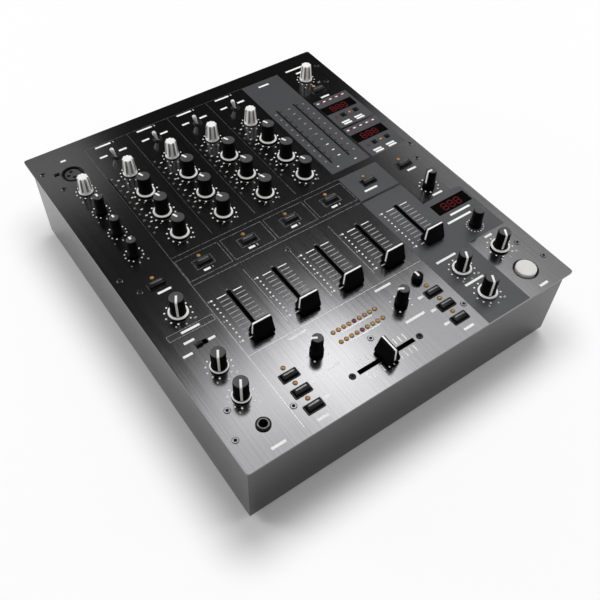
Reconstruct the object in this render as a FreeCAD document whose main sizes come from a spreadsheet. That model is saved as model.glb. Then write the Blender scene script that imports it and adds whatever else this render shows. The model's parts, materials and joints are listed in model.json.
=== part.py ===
import FreeCAD, Part
import Sketcher
import math
import os
import re

doc = FreeCAD.newDocument("Mixer")
sheet = doc.addObject("Spreadsheet::Sheet", "Sizes")

# Driving dimensions, in millimetres, degrees and counts, and the places that follow from them
SIZES = {
    # Case
    "panel_width": 320,
    "panel_depth": 376,
    "panel_thickness": 2,
    "panel_corner": 2.5,
    "chassis_height": 80,
    "sheet_thickness": 1.2,
    "bend_radius": 2.4,
    "side_inset": 2.5,
    "front_inset": 4.4,
    "rear_inset": 12,
    "flange_width": 6.5,
    "foot_height": 3,
    "foot_radius": 9,
    "foot_sides": 16,
    "foot_inset": 26,
    # Columns of the panel, from its centre, spread evenly between margins at its sides
    "column_margin": 30.1,
    "column_pitch": "=(panel_width - 2 * column_margin) / 6",
    "effect_margin": 31.2,
    "effect_column": "=panel_width / 2 - effect_margin",
    "parameter_shift": 1.8,
    "parameter_column": "=2 * column_pitch - parameter_shift",
    "crossfader_column": "=0 - column_pitch / 2",
    "assign_offset": 41.5,
    "curve_offset": 68.3,
    "kill_offset": 70.3,
    "display_gap": 1.1,
    "tempo_column": "=panel_width / 2 - side_inset - flange_width - display_gap - effect_window_length / 2",
    # Rows of the panel, from its centre: inputs from its rear edge, the mixing controls from its front edge
    "input_margin": 40,
    "input_row": "=panel_depth / 2 - input_margin",
    "trim_drop": 27.7,
    "trim_row": "=input_row - trim_drop",
    "surround_drop": 22,
    "surround_row": "=input_row - surround_drop",
    "tempo_drop": 32,
    "tempo_row": "=surround_row - tempo_drop",
    "tempo_pitch": 49.1,
    "cue_row": -8.5,
    "cue_gap": 38.8,
    "tone_pitch": "=(trim_row - cue_row - cue_gap) / 3",
    "tone_row": "=trim_row - tone_pitch",
    "lower_gap": 34.7,
    "lower_row": "=cue_row - lower_gap",
    "lower_margin": 24,
    "lower_pitch": "=(lower_row + panel_depth / 2 - lower_margin) / 4",
    "mode_drop": 34.8,
    "mode_row": "=lower_row - mode_drop",
    "display_drop": 28.2,
    "display_row": "=lower_row - display_drop",
    "crossfader_margin": 22,
    "crossfader_row": "=crossfader_margin - panel_depth / 2",
    "fader_shift": 14.75,
    "fader_row": "=(cue_row + crossfader_row) / 2 + fader_shift",
    "assign_rise": 32.4,
    "curve_rise": 44,
    "kill_rise": 26.8,
    "kill_pitch": 15.6,
    "jack_margin": 26,
    "jack_row": "=jack_margin - panel_depth / 2",
    # Shafts and the controls under the panel
    "shaft_radius": 3,
    "shaft_sides": 8,
    "shaft_clearance": 0.05,
    "shaft_depth": 12.5,
    "hole_clearance": 1,
    "board_drop": 15,
    "board_thickness": 1.6,
    "board_margin": 13,
    "pot_size": 11,
    "pot_height": 10,
    "pot_floor": 2.2,
    # Knobs, above the panel
    "knob_gap": 0.8,
    "knob_edge": 0.6,
    "knob_sides": 14,
    "skirt_height": 1.6,
    "pointer_width": 1.4,
    "pointer_depth": 0.4,
    "tone_height": 19.5,
    "tone_radius": 6.1,
    "tone_skirt_radius": 8.3,
    "tone_pointer": 3.2,
    "trim_height": 17.5,
    "trim_radius": 5.3,
    "trim_skirt_radius": 7.3,
    "trim_flare": 2.6,
    "flute_count": 8,
    "flute_radius": 2.6,
    "flute_depth": 0.55,
    "slim_height": 18,
    "slim_radius": 4.3,
    "slim_skirt_radius": 5.2,
    "selector_height": 19,
    "selector_radius": 4.8,
    "selector_skirt_radius": 5.6,
    "selector_skirt_height": 4.2,
    "curve_height": 6,
    "curve_radius": 4.5,
    "curve_skirt_radius": 4.75,
    "tone_rest_angle": 20,
    "level_rest_angle": 150,
    "assign_rest_angle": 60,
    "select_rest_angle": 90,
    # Faders
    "fader_travel": 45,
    "slot_width": 2.8,
    "slot_end_gap": 2,
    "lever_thickness": 1.2,
    "lever_width": 4,
    "lever_foot_gap": 0.5,
    "cap_gap": 1.2,
    "cap_length": 17.4,
    "cap_width": 11.6,
    "cap_height": 15.3,
    "cap_base_height": 3.2,
    "cap_ridge_length": 16,
    "cap_ridge_width": 4.6,
    "cap_ridge_height": 1.4,
    "cap_flank_radius": 40,
    "slide_body_width": 9,
    "slide_body_height": 8,
    "slide_body_end": 4.5,
    "slide_slot_width": 2,
    "slide_floor": 2,
    # Push buttons and their frames
    "button_length": 12.6,
    "button_width": 5.8,
    "button_rise": 3,
    "button_sink": 3,
    "button_edge": 0.6,
    "button_travel": 1,
    "button_clearance": 0.3,
    "lozenge_length": 11,
    "lozenge_width": 2.2,
    "lozenge_point": 1.3,
    "lozenge_rise": 0.5,
    "stem_size": 3,
    "bezel_length": 15.7,
    "bezel_width": 8.5,
    "bezel_rise": 0.8,
    "bezel_wall": 0.7,
    "bezel_sleeve": 4,
    "window_clearance": 0.15,
    "push_switch_size": 6,
    "push_switch_height": 5,
    "effect_button_radius": 9.5,
    "effect_button_sides": 24,
    "effect_button_rise": 2.2,
    "effect_hole_radius": 10.25,
    "effect_guide_wall": 2,
    "effect_guide_depth": 6,
    "tempo_button_radius": 2.45,
    "tempo_button_sides": 12,
    "tempo_button_rise": 1.2,
    "tempo_button_spread": 7.65,
    "tempo_button_offset": 3.45,
    "tempo_button_drop": 13.1,
    "tempo_hole_clearance": 0.35,
    # Toggles and the slide switch
    "toggle_lean": 15,
    "toggle_length": 13,
    "toggle_pivot_radius": 2.2,
    "toggle_pivot_width": 1.6,
    "toggle_bat_length": 8,
    "toggle_sides": 8,
    "toggle_neck_radius": 1.1,
    "toggle_tip_radius": 1.9,
    "toggle_tip_edge": 0.9,
    "bushing_radius": 3.8,
    "bushing_sides": 8,
    "bushing_bore": 2.6,
    "bushing_rise": 1.5,
    "bushing_clearance": 0.2,
    "toggle_body_length": 13,
    "toggle_body_width": 8,
    "mode_travel": 4,
    "mode_cap_length": 5,
    "mode_cap_width": 3.6,
    "mode_cap_rise": 3,
    "mode_clearance": 0.5,
    "mode_sink": 4.7,
    "mode_body_length": 17,
    "mode_body_width": 8,
    "mode_seat_gap": 0.3,
    # Displays and indicator lights
    "tempo_window_length": 37.6,
    "tempo_window_width": 12.4,
    "effect_window_length": 39,
    "effect_window_width": 13.5,
    "display_clearance": 0.2,
    "display_sink": 0.3,
    "light_radius": 1.6,
    "light_sides": 8,
    "light_rise": 0.8,
    "light_offset": 8.1,
    "level_light_size": 2,
    "level_light_rise": 0.3,
    "level_light_offset": 17.6,
    "level_light_lead": 1.3,
    "level_light_pitch": 8.75,
    "level_light_count": 10,
    "meter_light_offset": 10.1,
    "meter_light_drop": 30,
    "meter_light_pitch": 9.1,
    "beat_light_rise": 39.8,
    "beat_row_pitch": 10.3,
    "beat_light_pitch": 5.1,
    "beat_light_count": 9,
    "tempo_light_rise": 13.8,
    "tempo_light_pitch": 7.6,
    "tempo_light_count": 4,
    # Sockets on the panel
    "mic_socket_radius": 10,
    "mic_ring_width": 1.6,
    "mic_insert_radius": 7.4,
    "mic_insert_sink": 0.6,
    "mic_groove_depth": 10,
    "mic_socket_depth": 20,
    "mic_lip": 0.5,
    "mic_pin_radius": 1.3,
    "mic_pin_sides": 8,
    "mic_pin_circle": 4,
    "mic_hole_clearance": 0.2,
    "jack_bore_radius": 3.25,
    "jack_bore_depth": 32,
    "jack_nut_radius": 5.8,
    "jack_nut_height": 1.4,
    "jack_neck_radius": 4.5,
    "jack_neck_rise": 1.9,
    "jack_body_size": 14,
    "jack_floor": 2,
    "jack_board_gap": 1,
    # Back of the case
    "socket_height": 45,
    "phono_radius": 4.2,
    "phono_sides": 10,
    "phono_length": 8,
    "phono_pitch": 14,
    "phono_block_depth": 12,
    "socket_lip": 1,
    "cutout_clearance": 0.2,
    "ground_radius": 3.5,
    "ground_sides": 6,
    "ground_length": 6,
    "ground_height": 20,
    "inlet_margin": 28,
    "inlet_column": "=panel_width / 2 - inlet_margin",
    "inlet_width": 27,
    "inlet_height": 19.5,
    "inlet_wall": 1.5,
    "inlet_depth": 20,
    "inlet_floor": 4,
    "inlet_rim": 2.4,
    "blade_thickness": 2,
    "blade_width": 4,
    "blade_length": 12,
    "blade_spread": 7,
    "blade_rise": 2,
    "switch_gap": 31,
    "switch_column": "=inlet_column - switch_gap",
    "switch_width": 15.4,
    "switch_height": 23.4,
    "switch_wall": 1.5,
    "switch_depth": 14,
    "switch_floor": 2,
    "switch_rim": 1.2,
    "rocker_clearance": 0.4,
    "rocker_height": 18,
    "rocker_pivot": 2,
    "rocker_edge": 4.2,
    "rocker_valley": 2.8,
    "rocker_back": 5,
    "rocker_tail": 5,
    "rocker_lean": 8,
    "pin_radius": 1.2,
    "pin_sides": 8,
    "pin_length": 0.9,
    "pin_clearance": 0.08,
    # Boards and power supply
    "post_radius": 3,
    "post_sides": 6,
    "post_span": 82.4,
    "post_gap": 28.1,
    "rear_post_inset": 20.8,
    "rear_post_column": "=effect_column - rear_post_inset",
    "rear_post_drop": 8,
    "supply_margin": 20,
    "supply_column": "=panel_width / 2 - supply_margin - supply_length / 2",
    "supply_rear_margin": 66,
    "supply_row": "=panel_depth / 2 - supply_rear_margin - supply_width / 2",
    "supply_length": 120,
    "supply_width": 84,
    "supply_spacer": 6,
    "core_length": 44,
    "core_width": 30,
    "core_height": 36,
    "coil_length": 28,
    "coil_width": 42,
    "coil_height": 24,
    "capacitor_radius": 8,
    "capacitor_sides": 12,
    "capacitor_height": 25,
    "capacitor_pitch": 22,
    "sink_base": 3,
    "sink_fin": 1.5,
    "sink_fin_pitch": 5,
    "sink_fin_count": 4,
    "sink_depth": 12,
    "sink_height": 28,
}

for row, alias in enumerate(SIZES, start=1):
    sheet.set(f"A{row}", alias)
    sheet.setAlias(f"B{row}", alias)
for alias, content in SIZES.items():
    sheet.set(alias, str(content))
doc.recompute()

# Places that several pieces share, worked out from the sizes
PANEL_TOP = "(foot_height + chassis_height + panel_thickness)"
BOARD_TOP = f"({PANEL_TOP} - board_drop)"
BASE_TOP = "(foot_height + sheet_thickness)"
REAR_WALL = "(panel_depth / 2 - rear_inset)"
FADER_REST = "(fader_row - fader_travel / 2)"
SLOT_LENGTH = "(fader_travel + lever_width + 2 * slot_end_gap)"
LEVER_DEPTH = "(board_drop - slide_floor - lever_foot_gap)"
PUSH_SWITCH_TOP = "(board_drop - push_switch_height)"
COLUMNS = {
    "mic": "(-3 * column_pitch)",
    "channel_1": "(-2 * column_pitch)",
    "channel_2": "(-1 * column_pitch)",
    "channel_3": "(0 * column_pitch)",
    "channel_4": "(1 * column_pitch)",
    "master": "(2 * column_pitch)",
}
CHANNELS = ["channel_1", "channel_2", "channel_3", "channel_4"]
TONE_ROWS = {
    "high": "tone_row",
    "mid": "(tone_row - tone_pitch)",
    "low": "(tone_row - 2 * tone_pitch)",
}
LOWER_ROWS = [f"(lower_row - {step} * lower_pitch)" for step in range(5)]
ASSIGN_ROW = "(crossfader_row + assign_rise)"


def expression(text):
    """Turn words that name sizes into references to their cells."""
    return re.sub(r"\b([a-z]\w*)\b(?!\()", r"Sizes.\1", text)


def value(text):
    """Work a size expression out as a number."""
    return float(sheet.evalExpression(expression(text)))


def bind(item, **texts):
    """Bind properties of an object to size expressions."""
    for name, text in texts.items():
        item.setExpression(name, expression(text))


def place(item, x="0", y="0", z="0", angle=None, axis=(0, 0, 1)):
    """Bind an object's place, and its turn about an axis."""
    turn = value(angle) if angle else 0
    spot = FreeCAD.Vector(value(x), value(y), value(z))
    item.Placement = FreeCAD.Placement(spot, FreeCAD.Rotation(FreeCAD.Vector(*axis), turn))
    for name, text in (("x", x), ("y", y), ("z", z)):
        item.setExpression("Placement.Base." + name, expression(text))
    if angle:
        item.setExpression("Placement.Rotation.Angle", expression(angle))
    return item


# Sketches and features
def make_body(label):
    body = doc.addObject("PartDesign::Body", label)
    body.Label = label
    return body


def origin_feature(body, role):
    return next(item for item in body.Origin.OriginFeatures if item.Role == role)


def make_sketch(body, role, height="0"):
    sketch = body.newObject("Sketcher::SketchObject", body.Name + "_sketch")
    sketch.AttachmentSupport = (origin_feature(body, role), [""])
    sketch.MapMode = "FlatFace"
    sketch.setExpression("AttachmentOffset.Base.z", expression(height))
    return sketch


def constrain(sketch, kind, *arguments, text):
    index = sketch.addConstraint(Sketcher.Constraint(kind, *arguments, value(text)))
    sketch.setExpression(f"Constraints[{index}]", expression(text))


def pin_point(sketch, geometry, position, spot):
    constrain(sketch, "DistanceX", -1, 1, geometry, position, text=spot[0])
    constrain(sketch, "DistanceY", -1, 1, geometry, position, text=spot[1])


def arc_between(start, end, radius, turn):
    """The short arc from start to end, left-handed for a turn of 1 and right-handed for -1."""
    chord = end - start
    rise = math.sqrt(radius ** 2 - (chord.Length / 2) ** 2)
    left = FreeCAD.Vector(-chord.y, chord.x, 0).normalize()
    centre = (start + end) / 2 + left * rise * turn
    first, last = (start, end) if turn > 0 else (end, start)
    angles = [math.atan2(point.y - centre.y, point.x - centre.x) for point in (first, last)]
    return Part.ArcOfCircle(Part.Circle(centre, FreeCAD.Vector(0, 0, 1), radius), *angles)


def outline(sketch, points, arcs=None):
    """Draw a closed outline; arcs gives a radius and a turn to the edges that aren't straight."""
    arcs = arcs or {}
    vectors = [FreeCAD.Vector(value(x), value(y), 0) for x, y in points]
    edges = []
    for index, start in enumerate(vectors):
        end = vectors[(index + 1) % len(vectors)]
        if index in arcs:
            radius, turn = arcs[index]
            geometry = sketch.addGeometry(arc_between(start, end, value(radius), turn))
            edges.append((geometry, 1, 2) if turn > 0 else (geometry, 2, 1))
        else:
            edges.append((sketch.addGeometry(Part.LineSegment(start, end)), 1, 2))
    for (geometry, _, end), (following, start, _) in zip(edges, edges[1:] + edges[:1]):
        sketch.addConstraint(Sketcher.Constraint("Coincident", geometry, end, following, start))
    for (geometry, start, _), spot in zip(edges, points):
        pin_point(sketch, geometry, start, spot)
    for index, (radius, _) in arcs.items():
        constrain(sketch, "Radius", edges[index][0], text=radius)


def rectangle(sketch, length, width, x="0", y="0"):
    left, right = f"({x}) - ({length}) / 2", f"({x}) + ({length}) / 2"
    front, rear = f"({y}) - ({width}) / 2", f"({y}) + ({width}) / 2"
    outline(sketch, [(left, front), (right, front), (right, rear), (left, rear)])


def circle(sketch, radius, x="0", y="0"):
    centre = FreeCAD.Vector(value(x), value(y), 0)
    ring = Part.Circle(centre, FreeCAD.Vector(0, 0, 1), value(radius))
    geometry = sketch.addGeometry(ring)
    pin_point(sketch, geometry, 3, (x, y))
    constrain(sketch, "Radius", geometry, text=radius)


def polygon(sketch, radius, sides, x="0", y="0"):
    """A regular polygon by the radius of its corners, with flats across both axes."""
    points = []
    for step in range(int(value(sides))):
        turn = f"360 * ({step} + 1 / 2) / {sides}"
        points.append((f"({x}) + ({radius}) * cos({turn})", f"({y}) + ({radius}) * sin({turn})"))
    outline(sketch, points)


def pad(body, sketch, length, backwards=False, both_ways=False):
    feature = body.newObject("PartDesign::Pad", body.Name + "_pad")
    feature.Profile = sketch
    bind(feature, Length=length)
    feature.Reversed = backwards
    feature.Midplane = both_ways
    return feature


def pocket(body, sketch, depth=None, backwards=False, both_ways=False):
    """Cut a sketch into the body, right through it where no depth is given."""
    feature = body.newObject("PartDesign::Pocket", body.Name + "_pocket")
    feature.Profile = sketch
    if depth:
        bind(feature, Length=depth)
    else:
        feature.Type = "ThroughAll"
    feature.Reversed = backwards
    feature.Midplane = both_ways
    return feature


def revolve(body, profile):
    sketch = make_sketch(body, "XZ_Plane")
    outline(sketch, profile)
    feature = body.newObject("PartDesign::Revolution", body.Name + "_revolution")
    feature.Profile = sketch
    feature.ReferenceAxis = (sketch, ["V_Axis"])
    feature.Angle = 360
    return feature


def edges_along(shape, direction):
    """Names of the straight edges that run along a direction."""
    names = []
    for number, edge in enumerate(shape.Edges, start=1):
        if isinstance(edge.Curve, Part.Line) and abs(edge.Curve.Direction.dot(direction)) > 0.999:
            names.append(f"Edge{number}")
    return names


def edges_at(shape, height):
    """Names of the edges that lie at one height."""
    level = value(height)
    return [f"Edge{number}" for number, edge in enumerate(shape.Edges, start=1)
            if all(abs(vertex.Z - level) < 1e-6 for vertex in edge.Vertexes)]


def box(label, length, width, height, x="0", y="0", z="0"):
    """A block centred on x and y, standing on z."""
    block = doc.addObject("Part::Box", label)
    bind(block, Length=length, Width=width, Height=height)
    return place(block, f"({x}) - ({length}) / 2", f"({y}) - ({width}) / 2", z)


def prism(label, sides, radius, height, x="0", y="0", z="0", angle=None, axis=(0, 0, 1)):
    rod = doc.addObject("Part::Prism", label)
    bind(rod, Polygon=sides, Circumradius=radius, Height=height)
    return place(rod, x, y, z, angle, axis)


def chamfer(body, feature, face_height, size, inset=None):
    """Bevel the edges that lie at one height, by one size or by a height and an inset."""
    doc.recompute()
    bevel = body.newObject("PartDesign::Chamfer", body.Name + "_chamfer")
    bevel.Base = (feature, edges_at(feature.Shape, face_height))
    bind(bevel, Size=size)
    if inset:
        bevel.ChamferType = "Two distances"
        bind(bevel, Size2=inset)


# Sub-parts, each written to its own file
nodes = {}


def copy_of(master, label, x="0", y="0", z=PANEL_TOP, angle=None, axis=(0, 0, 1)):
    copy = doc.addObject("Part::Compound", label)
    copy.Links = [master]
    return place(copy, x, y, z, angle, axis)


def node(label, *solids):
    group = doc.addObject("Part::Compound", label)
    group.Label = label
    group.Links = list(solids)
    nodes[label] = group
    return group


def node_copy(label, *arguments, **places):
    """A sub-part that is one placed copy of a master, with its own place as its reference point."""
    copy = copy_of(arguments[0], label, *arguments[1:], **places)
    copy.Label = label
    nodes[label] = copy
    return copy


# Knobs: a moulded cap with grip flats and a skirt, one piece with its shaft
def knob(label, kind, skirt_height="skirt_height"):
    body = make_body(label)
    height, shoulder = f"{kind}_height", f"knob_gap + {skirt_height}"
    sketch = make_sketch(body, "XY_Plane", height)
    polygon(sketch, f"{kind}_radius", "knob_sides")
    cap_pad = pad(body, sketch, f"{height} - ({shoulder})", backwards=True)
    chamfer(body, cap_pad, height, "knob_edge")
    sketch = make_sketch(body, "XY_Plane", shoulder)
    polygon(sketch, f"{kind}_skirt_radius", "knob_sides")
    pad(body, sketch, skirt_height, backwards=True)
    add_shaft(body)
    return body


def add_shaft(body):
    sketch = make_sketch(body, "XY_Plane", "knob_gap")
    polygon(sketch, "shaft_radius", "shaft_sides")
    pad(body, sketch, "knob_gap + shaft_depth", backwards=True)


def pointer(body, kind, start):
    """Cut a groove in the top, from a point on the axis line out to the rim."""
    sketch = make_sketch(body, "XY_Plane", f"{kind}_height")
    rectangle(sketch, "pointer_width", f"{kind}_radius - ({start})", y=f"({kind}_radius + {start}) / 2")
    pocket(body, sketch, "pointer_depth")


def side_pointer(body, kind, shoulder):
    """Carry the groove down the side to the skirt."""
    sketch = make_sketch(body, "XY_Plane", f"{kind}_height")
    rectangle(sketch, "pointer_width", "2 * pointer_depth",
              y=f"{kind}_radius * cos(180 / knob_sides)")
    pocket(body, sketch, f"{kind}_height - knob_gap - {shoulder}")


def fluted_knob():
    """A white trim cap: a drum with concave grip flutes, over a flared skirt."""
    body = make_body("trim_cap")
    shoulder = "knob_gap + skirt_height + trim_flare"
    sketch = make_sketch(body, "XY_Plane", shoulder)
    polygon(sketch, "trim_skirt_radius", "knob_sides")
    skirt = pad(body, sketch, "skirt_height + trim_flare", backwards=True)
    chamfer(body, skirt, shoulder, "trim_flare", "trim_skirt_radius - trim_radius - knob_edge")
    sketch = make_sketch(body, "XY_Plane", "trim_height")
    circle(sketch, "trim_radius")
    pad(body, sketch, f"trim_height - ({shoulder})", backwards=True)
    sketch = make_sketch(body, "XY_Plane", "trim_height")
    circle(sketch, "flute_radius", y="trim_radius + flute_radius - flute_depth")
    cut = pocket(body, sketch, f"trim_height - ({shoulder})")
    pattern = body.newObject("PartDesign::PolarPattern", "trim_flutes")
    pattern.Originals = [cut]
    pattern.Axis = (origin_feature(body, "Z_Axis"), [""])
    pattern.Angle = 360
    bind(pattern, Occurrences="flute_count")
    body.Tip = pattern
    add_shaft(body)
    return body


masters = {
    "tone": knob("tone_cap", "tone"),
    "level": knob("level_cap", "tone"),
    "slim": knob("slim_cap", "slim"),
    "selector": knob("selector_cap", "selector", "selector_skirt_height"),
    "curve": knob("curve_cap", "curve"),
    "trim": fluted_knob(),
}
pointer(masters["tone"], "tone", "tone_radius - tone_pointer")
pointer(masters["level"], "tone", "0 - tone_pointer / 2")
side_pointer(masters["level"], "tone", "skirt_height")
pointer(masters["slim"], "slim", "0")
pointer(masters["selector"], "selector", "0")
side_pointer(masters["selector"], "selector", "selector_skirt_height")
pointer(masters["curve"], "curve", "0")

# Every knob: name, kind, place and the turn of its pointer from the rear
KNOBS = [("mic_level_knob", "trim", COLUMNS["mic"], "trim_row", None)]
for band, row_place in TONE_ROWS.items():
    KNOBS.append((f"mic_{band}_knob", "slim", COLUMNS["mic"], row_place, None))
for channel in CHANNELS:
    KNOBS.append((f"{channel}_trim_knob", "trim", COLUMNS[channel], "trim_row", None))
    for band, row_place in TONE_ROWS.items():
        KNOBS.append((f"{channel}_{band}_knob", "tone", COLUMNS[channel], row_place, "tone_rest_angle"))
KNOBS += [
    ("surround_knob", "trim", "effect_column", "input_row", None),
    ("monitor_knob", "level", COLUMNS["mic"], LOWER_ROWS[0], "level_rest_angle"),
    ("phones_mix_knob", "level", COLUMNS["mic"], LOWER_ROWS[2], "level_rest_angle"),
    ("phones_level_knob", "level", COLUMNS["mic"], LOWER_ROWS[3], "level_rest_angle"),
    ("effect_select_knob", "selector", "effect_column", LOWER_ROWS[0], "select_rest_angle"),
    ("effect_value_knob", "selector", "effect_column", LOWER_ROWS[2], None),
    ("effect_depth_knob", "level", "effect_column", LOWER_ROWS[3], "level_rest_angle"),
    ("effect_parameter_knob", "level", "parameter_column", LOWER_ROWS[3], "level_rest_angle"),
    ("effect_mix_knob", "level", "parameter_column", LOWER_ROWS[4], "level_rest_angle"),
    ("assign_a_knob", "selector", "crossfader_column - assign_offset", ASSIGN_ROW, "assign_rest_angle"),
    ("assign_b_knob", "selector", "crossfader_column + assign_offset", ASSIGN_ROW, "assign_rest_angle"),
    ("curve_knob", "curve", "crossfader_column + curve_offset", "crossfader_row + curve_rise", None),
]
for label, kind, x, y, angle in KNOBS:
    node_copy(label, masters[kind], x, y, angle=angle)


# Fader caps: a ridge with slightly hollowed flanks and drawn-in ends, on a flat lever
def fader_cap():
    body = make_body("fader_cap")
    sketch = make_sketch(body, "YZ_Plane")
    top = "cap_gap + cap_height"
    points = [("0 - cap_width / 2", "cap_gap"), ("cap_width / 2", "cap_gap"),
              ("cap_width / 2", "cap_gap + cap_base_height"),
              ("cap_ridge_width / 2", f"{top} - cap_ridge_height"),
              ("cap_ridge_width / 2", top), ("0 - cap_ridge_width / 2", top),
              ("0 - cap_ridge_width / 2", f"{top} - cap_ridge_height"),
              ("0 - cap_width / 2", "cap_gap + cap_base_height")]
    outline(sketch, points, {2: ("cap_flank_radius", -1), 6: ("cap_flank_radius", -1)})
    pad(body, sketch, "cap_length", both_ways=True)
    ends = make_sketch(body, "XZ_Plane")
    for side in ("", "0 - "):
        outline(ends, [(f"{side}cap_length / 2", "cap_gap + cap_base_height"),
                       (f"{side}cap_length / 2", top), (f"{side}cap_ridge_length / 2", top)])
    pocket(body, ends, "2 * cap_width", both_ways=True)
    return body


cap = fader_cap()
lever = box("fader_lever", "lever_thickness", "lever_width", f"cap_gap + {LEVER_DEPTH}",
            z=f"0 - {LEVER_DEPTH}")
fader = doc.addObject("Part::Compound", "fader")
fader.Links = [cap, lever]
FADERS = [(f"{channel}_fader", COLUMNS[channel]) for channel in CHANNELS]
FADERS.append(("master_fader", COLUMNS["master"]))
for label, x in FADERS:
    node_copy(label, fader, x, FADER_REST)
turned_fader = place(doc.addObject("Part::Compound", "turned_fader"))
turned_fader.Links = [fader]
turned_fader.Placement.Rotation = FreeCAD.Rotation(FreeCAD.Vector(0, 0, 1), 90)
node_copy("crossfader", turned_fader, "crossfader_column", "crossfader_row")

# Rectangular buttons, each a cap with a raised lozenge and a stem, and their frames
BUTTON_SPOTS = {"cue_buttons": [(x, "cue_row") for x in COLUMNS.values()]}
BUTTON_SPOTS["cue_buttons"].append(("effect_column", "cue_row"))
for bank, sign in (("a", "-"), ("b", "+")):
    BUTTON_SPOTS[f"kill_buttons_{bank}"] = [
        (f"crossfader_column {sign} kill_offset", f"crossfader_row + kill_rise - {step} * kill_pitch") for step in range(3)]
BUTTON_SPOTS["surround_button"] = [("effect_column", "surround_row")]
ALL_BUTTONS = [spot for spots in BUTTON_SPOTS.values() for spot in spots]
STEM_LENGTH = f"({PUSH_SWITCH_TOP} - button_sink - button_travel - button_clearance)"


def push_button():
    body = make_body("push_button")
    sketch = make_sketch(body, "XY_Plane", "button_rise")
    rectangle(sketch, "button_length", "button_width")
    cap_pad = pad(body, sketch, "button_rise + button_sink", backwards=True)
    chamfer(body, cap_pad, "button_rise", "button_edge")
    sketch = make_sketch(body, "XY_Plane", "button_rise")
    end, shoulder = "lozenge_length / 2", "lozenge_length / 2 - lozenge_point"
    side = "lozenge_width / 2"
    outline(sketch, [(f"0 - {end}", "0"), (f"0 - ({shoulder})", f"0 - {side}"), (shoulder, f"0 - {side}"),
                     (end, "0"), (shoulder, side), (f"0 - ({shoulder})", side)])
    pad(body, sketch, "lozenge_rise")
    sketch = make_sketch(body, "XY_Plane", "0 - button_sink")
    rectangle(sketch, "stem_size", "stem_size")
    pad(body, sketch, STEM_LENGTH, backwards=True)
    return body


def button_bezel():
    body = make_body("button_bezel")
    sketch = make_sketch(body, "XY_Plane")
    rectangle(sketch, "bezel_length", "bezel_width")
    pad(body, sketch, "bezel_rise")
    sketch = make_sketch(body, "XY_Plane")
    rectangle(sketch, "button_length + 2 * (button_clearance + bezel_wall)",
              "button_width + 2 * (button_clearance + bezel_wall)")
    pad(body, sketch, "bezel_sleeve", backwards=True)
    sketch = make_sketch(body, "XY_Plane", "bezel_rise")
    rectangle(sketch, "button_length + 2 * button_clearance", "button_width + 2 * button_clearance")
    pocket(body, sketch)
    return body


button = push_button()
for label, spots in BUTTON_SPOTS.items():
    node(label, *[copy_of(button, label + "_cap", x, y) for x, y in spots])

# Round buttons: one large on the effect column, and a pair under each tempo display
TEMPO_ROWS = ["tempo_row", "(tempo_row - tempo_pitch)"]
TEMPO_SPOTS = []
for row_place in TEMPO_ROWS:
    for side in ("-", "+"):
        TEMPO_SPOTS.append((f"tempo_column + tempo_button_offset {side} tempo_button_spread",
                            f"{row_place} - tempo_button_drop"))
EFFECT_SPOT = ("effect_column", LOWER_ROWS[4])


def effect_cap():
    body = make_body("effect_cap")
    sketch = make_sketch(body, "XY_Plane", "effect_button_rise")
    polygon(sketch, "effect_button_radius", "effect_button_sides")
    cap_pad = pad(body, sketch, "effect_button_rise + effect_guide_depth", backwards=True)
    chamfer(body, cap_pad, "effect_button_rise", "knob_edge")
    sketch = make_sketch(body, "XY_Plane", "0 - effect_guide_depth")
    rectangle(sketch, "stem_size", "stem_size")
    pad(body, sketch, f"{PUSH_SWITCH_TOP} - effect_guide_depth - button_travel - button_clearance",
        backwards=True)
    return body


def tempo_button():
    body = make_body("tempo_cap")
    sketch = make_sketch(body, "XY_Plane", "tempo_button_rise")
    polygon(sketch, "tempo_button_radius", "tempo_button_sides")
    pad(body, sketch, "tempo_button_rise + panel_thickness + button_sink", backwards=True)
    sketch = make_sketch(body, "XY_Plane", "0 - panel_thickness - button_sink")
    rectangle(sketch, "stem_size", "stem_size")
    pad(body, sketch, f"{STEM_LENGTH} - panel_thickness", backwards=True)
    return body


node_copy("effect_button", effect_cap(), *EFFECT_SPOT)
tempo_cap = tempo_button()
node("tempo_buttons", *[copy_of(tempo_cap, "tempo_button", x, y) for x, y in TEMPO_SPOTS])

# Frames: bezels that guide the rectangular buttons, and a ring under the panel for the large one
guide = make_body("effect_guide")
guide_sketch = make_sketch(guide, "XY_Plane", "0 - panel_thickness")
polygon(guide_sketch, "effect_hole_radius + effect_guide_wall", "knob_sides")
circle(guide_sketch, "effect_button_radius + button_clearance")
pad(guide, guide_sketch, "effect_guide_depth", backwards=True)
bezel = button_bezel()
frames = [copy_of(bezel, "bezel", x, y) for x, y in ALL_BUTTONS]
node("button_bezels", *frames, copy_of(guide, "effect_ring", *EFFECT_SPOT))

# Toggle levers, which lean to the left, and the phones mode slide switch
toggle = make_body("toggle_lever")
bat_sketch = make_sketch(toggle, "XY_Plane", "toggle_length")
polygon(bat_sketch, "toggle_tip_radius", "toggle_sides")
bat = pad(toggle, bat_sketch, "toggle_bat_length", backwards=True)
chamfer(toggle, bat, "toggle_length", "toggle_tip_edge")
neck_sketch = make_sketch(toggle, "XY_Plane", "toggle_length - toggle_bat_length")
polygon(neck_sketch, "toggle_neck_radius", "toggle_sides")
pad(toggle, neck_sketch, "toggle_length - toggle_bat_length", backwards=True)
pivot_sketch = make_sketch(toggle, "XZ_Plane")
polygon(pivot_sketch, "toggle_pivot_radius", "toggle_sides")
pad(toggle, pivot_sketch, "toggle_pivot_width", both_ways=True)
for channel in CHANNELS:
    node_copy(f"{channel}_toggle", toggle, COLUMNS[channel], "input_row",
              z=f"{PANEL_TOP} - panel_thickness", angle="toggle_lean", axis=(0, -1, 0))
mode_slider = box("mode_slider", "mode_cap_length", "mode_cap_width", "mode_cap_rise + mode_sink",
                  z="0 - mode_sink")
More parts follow.
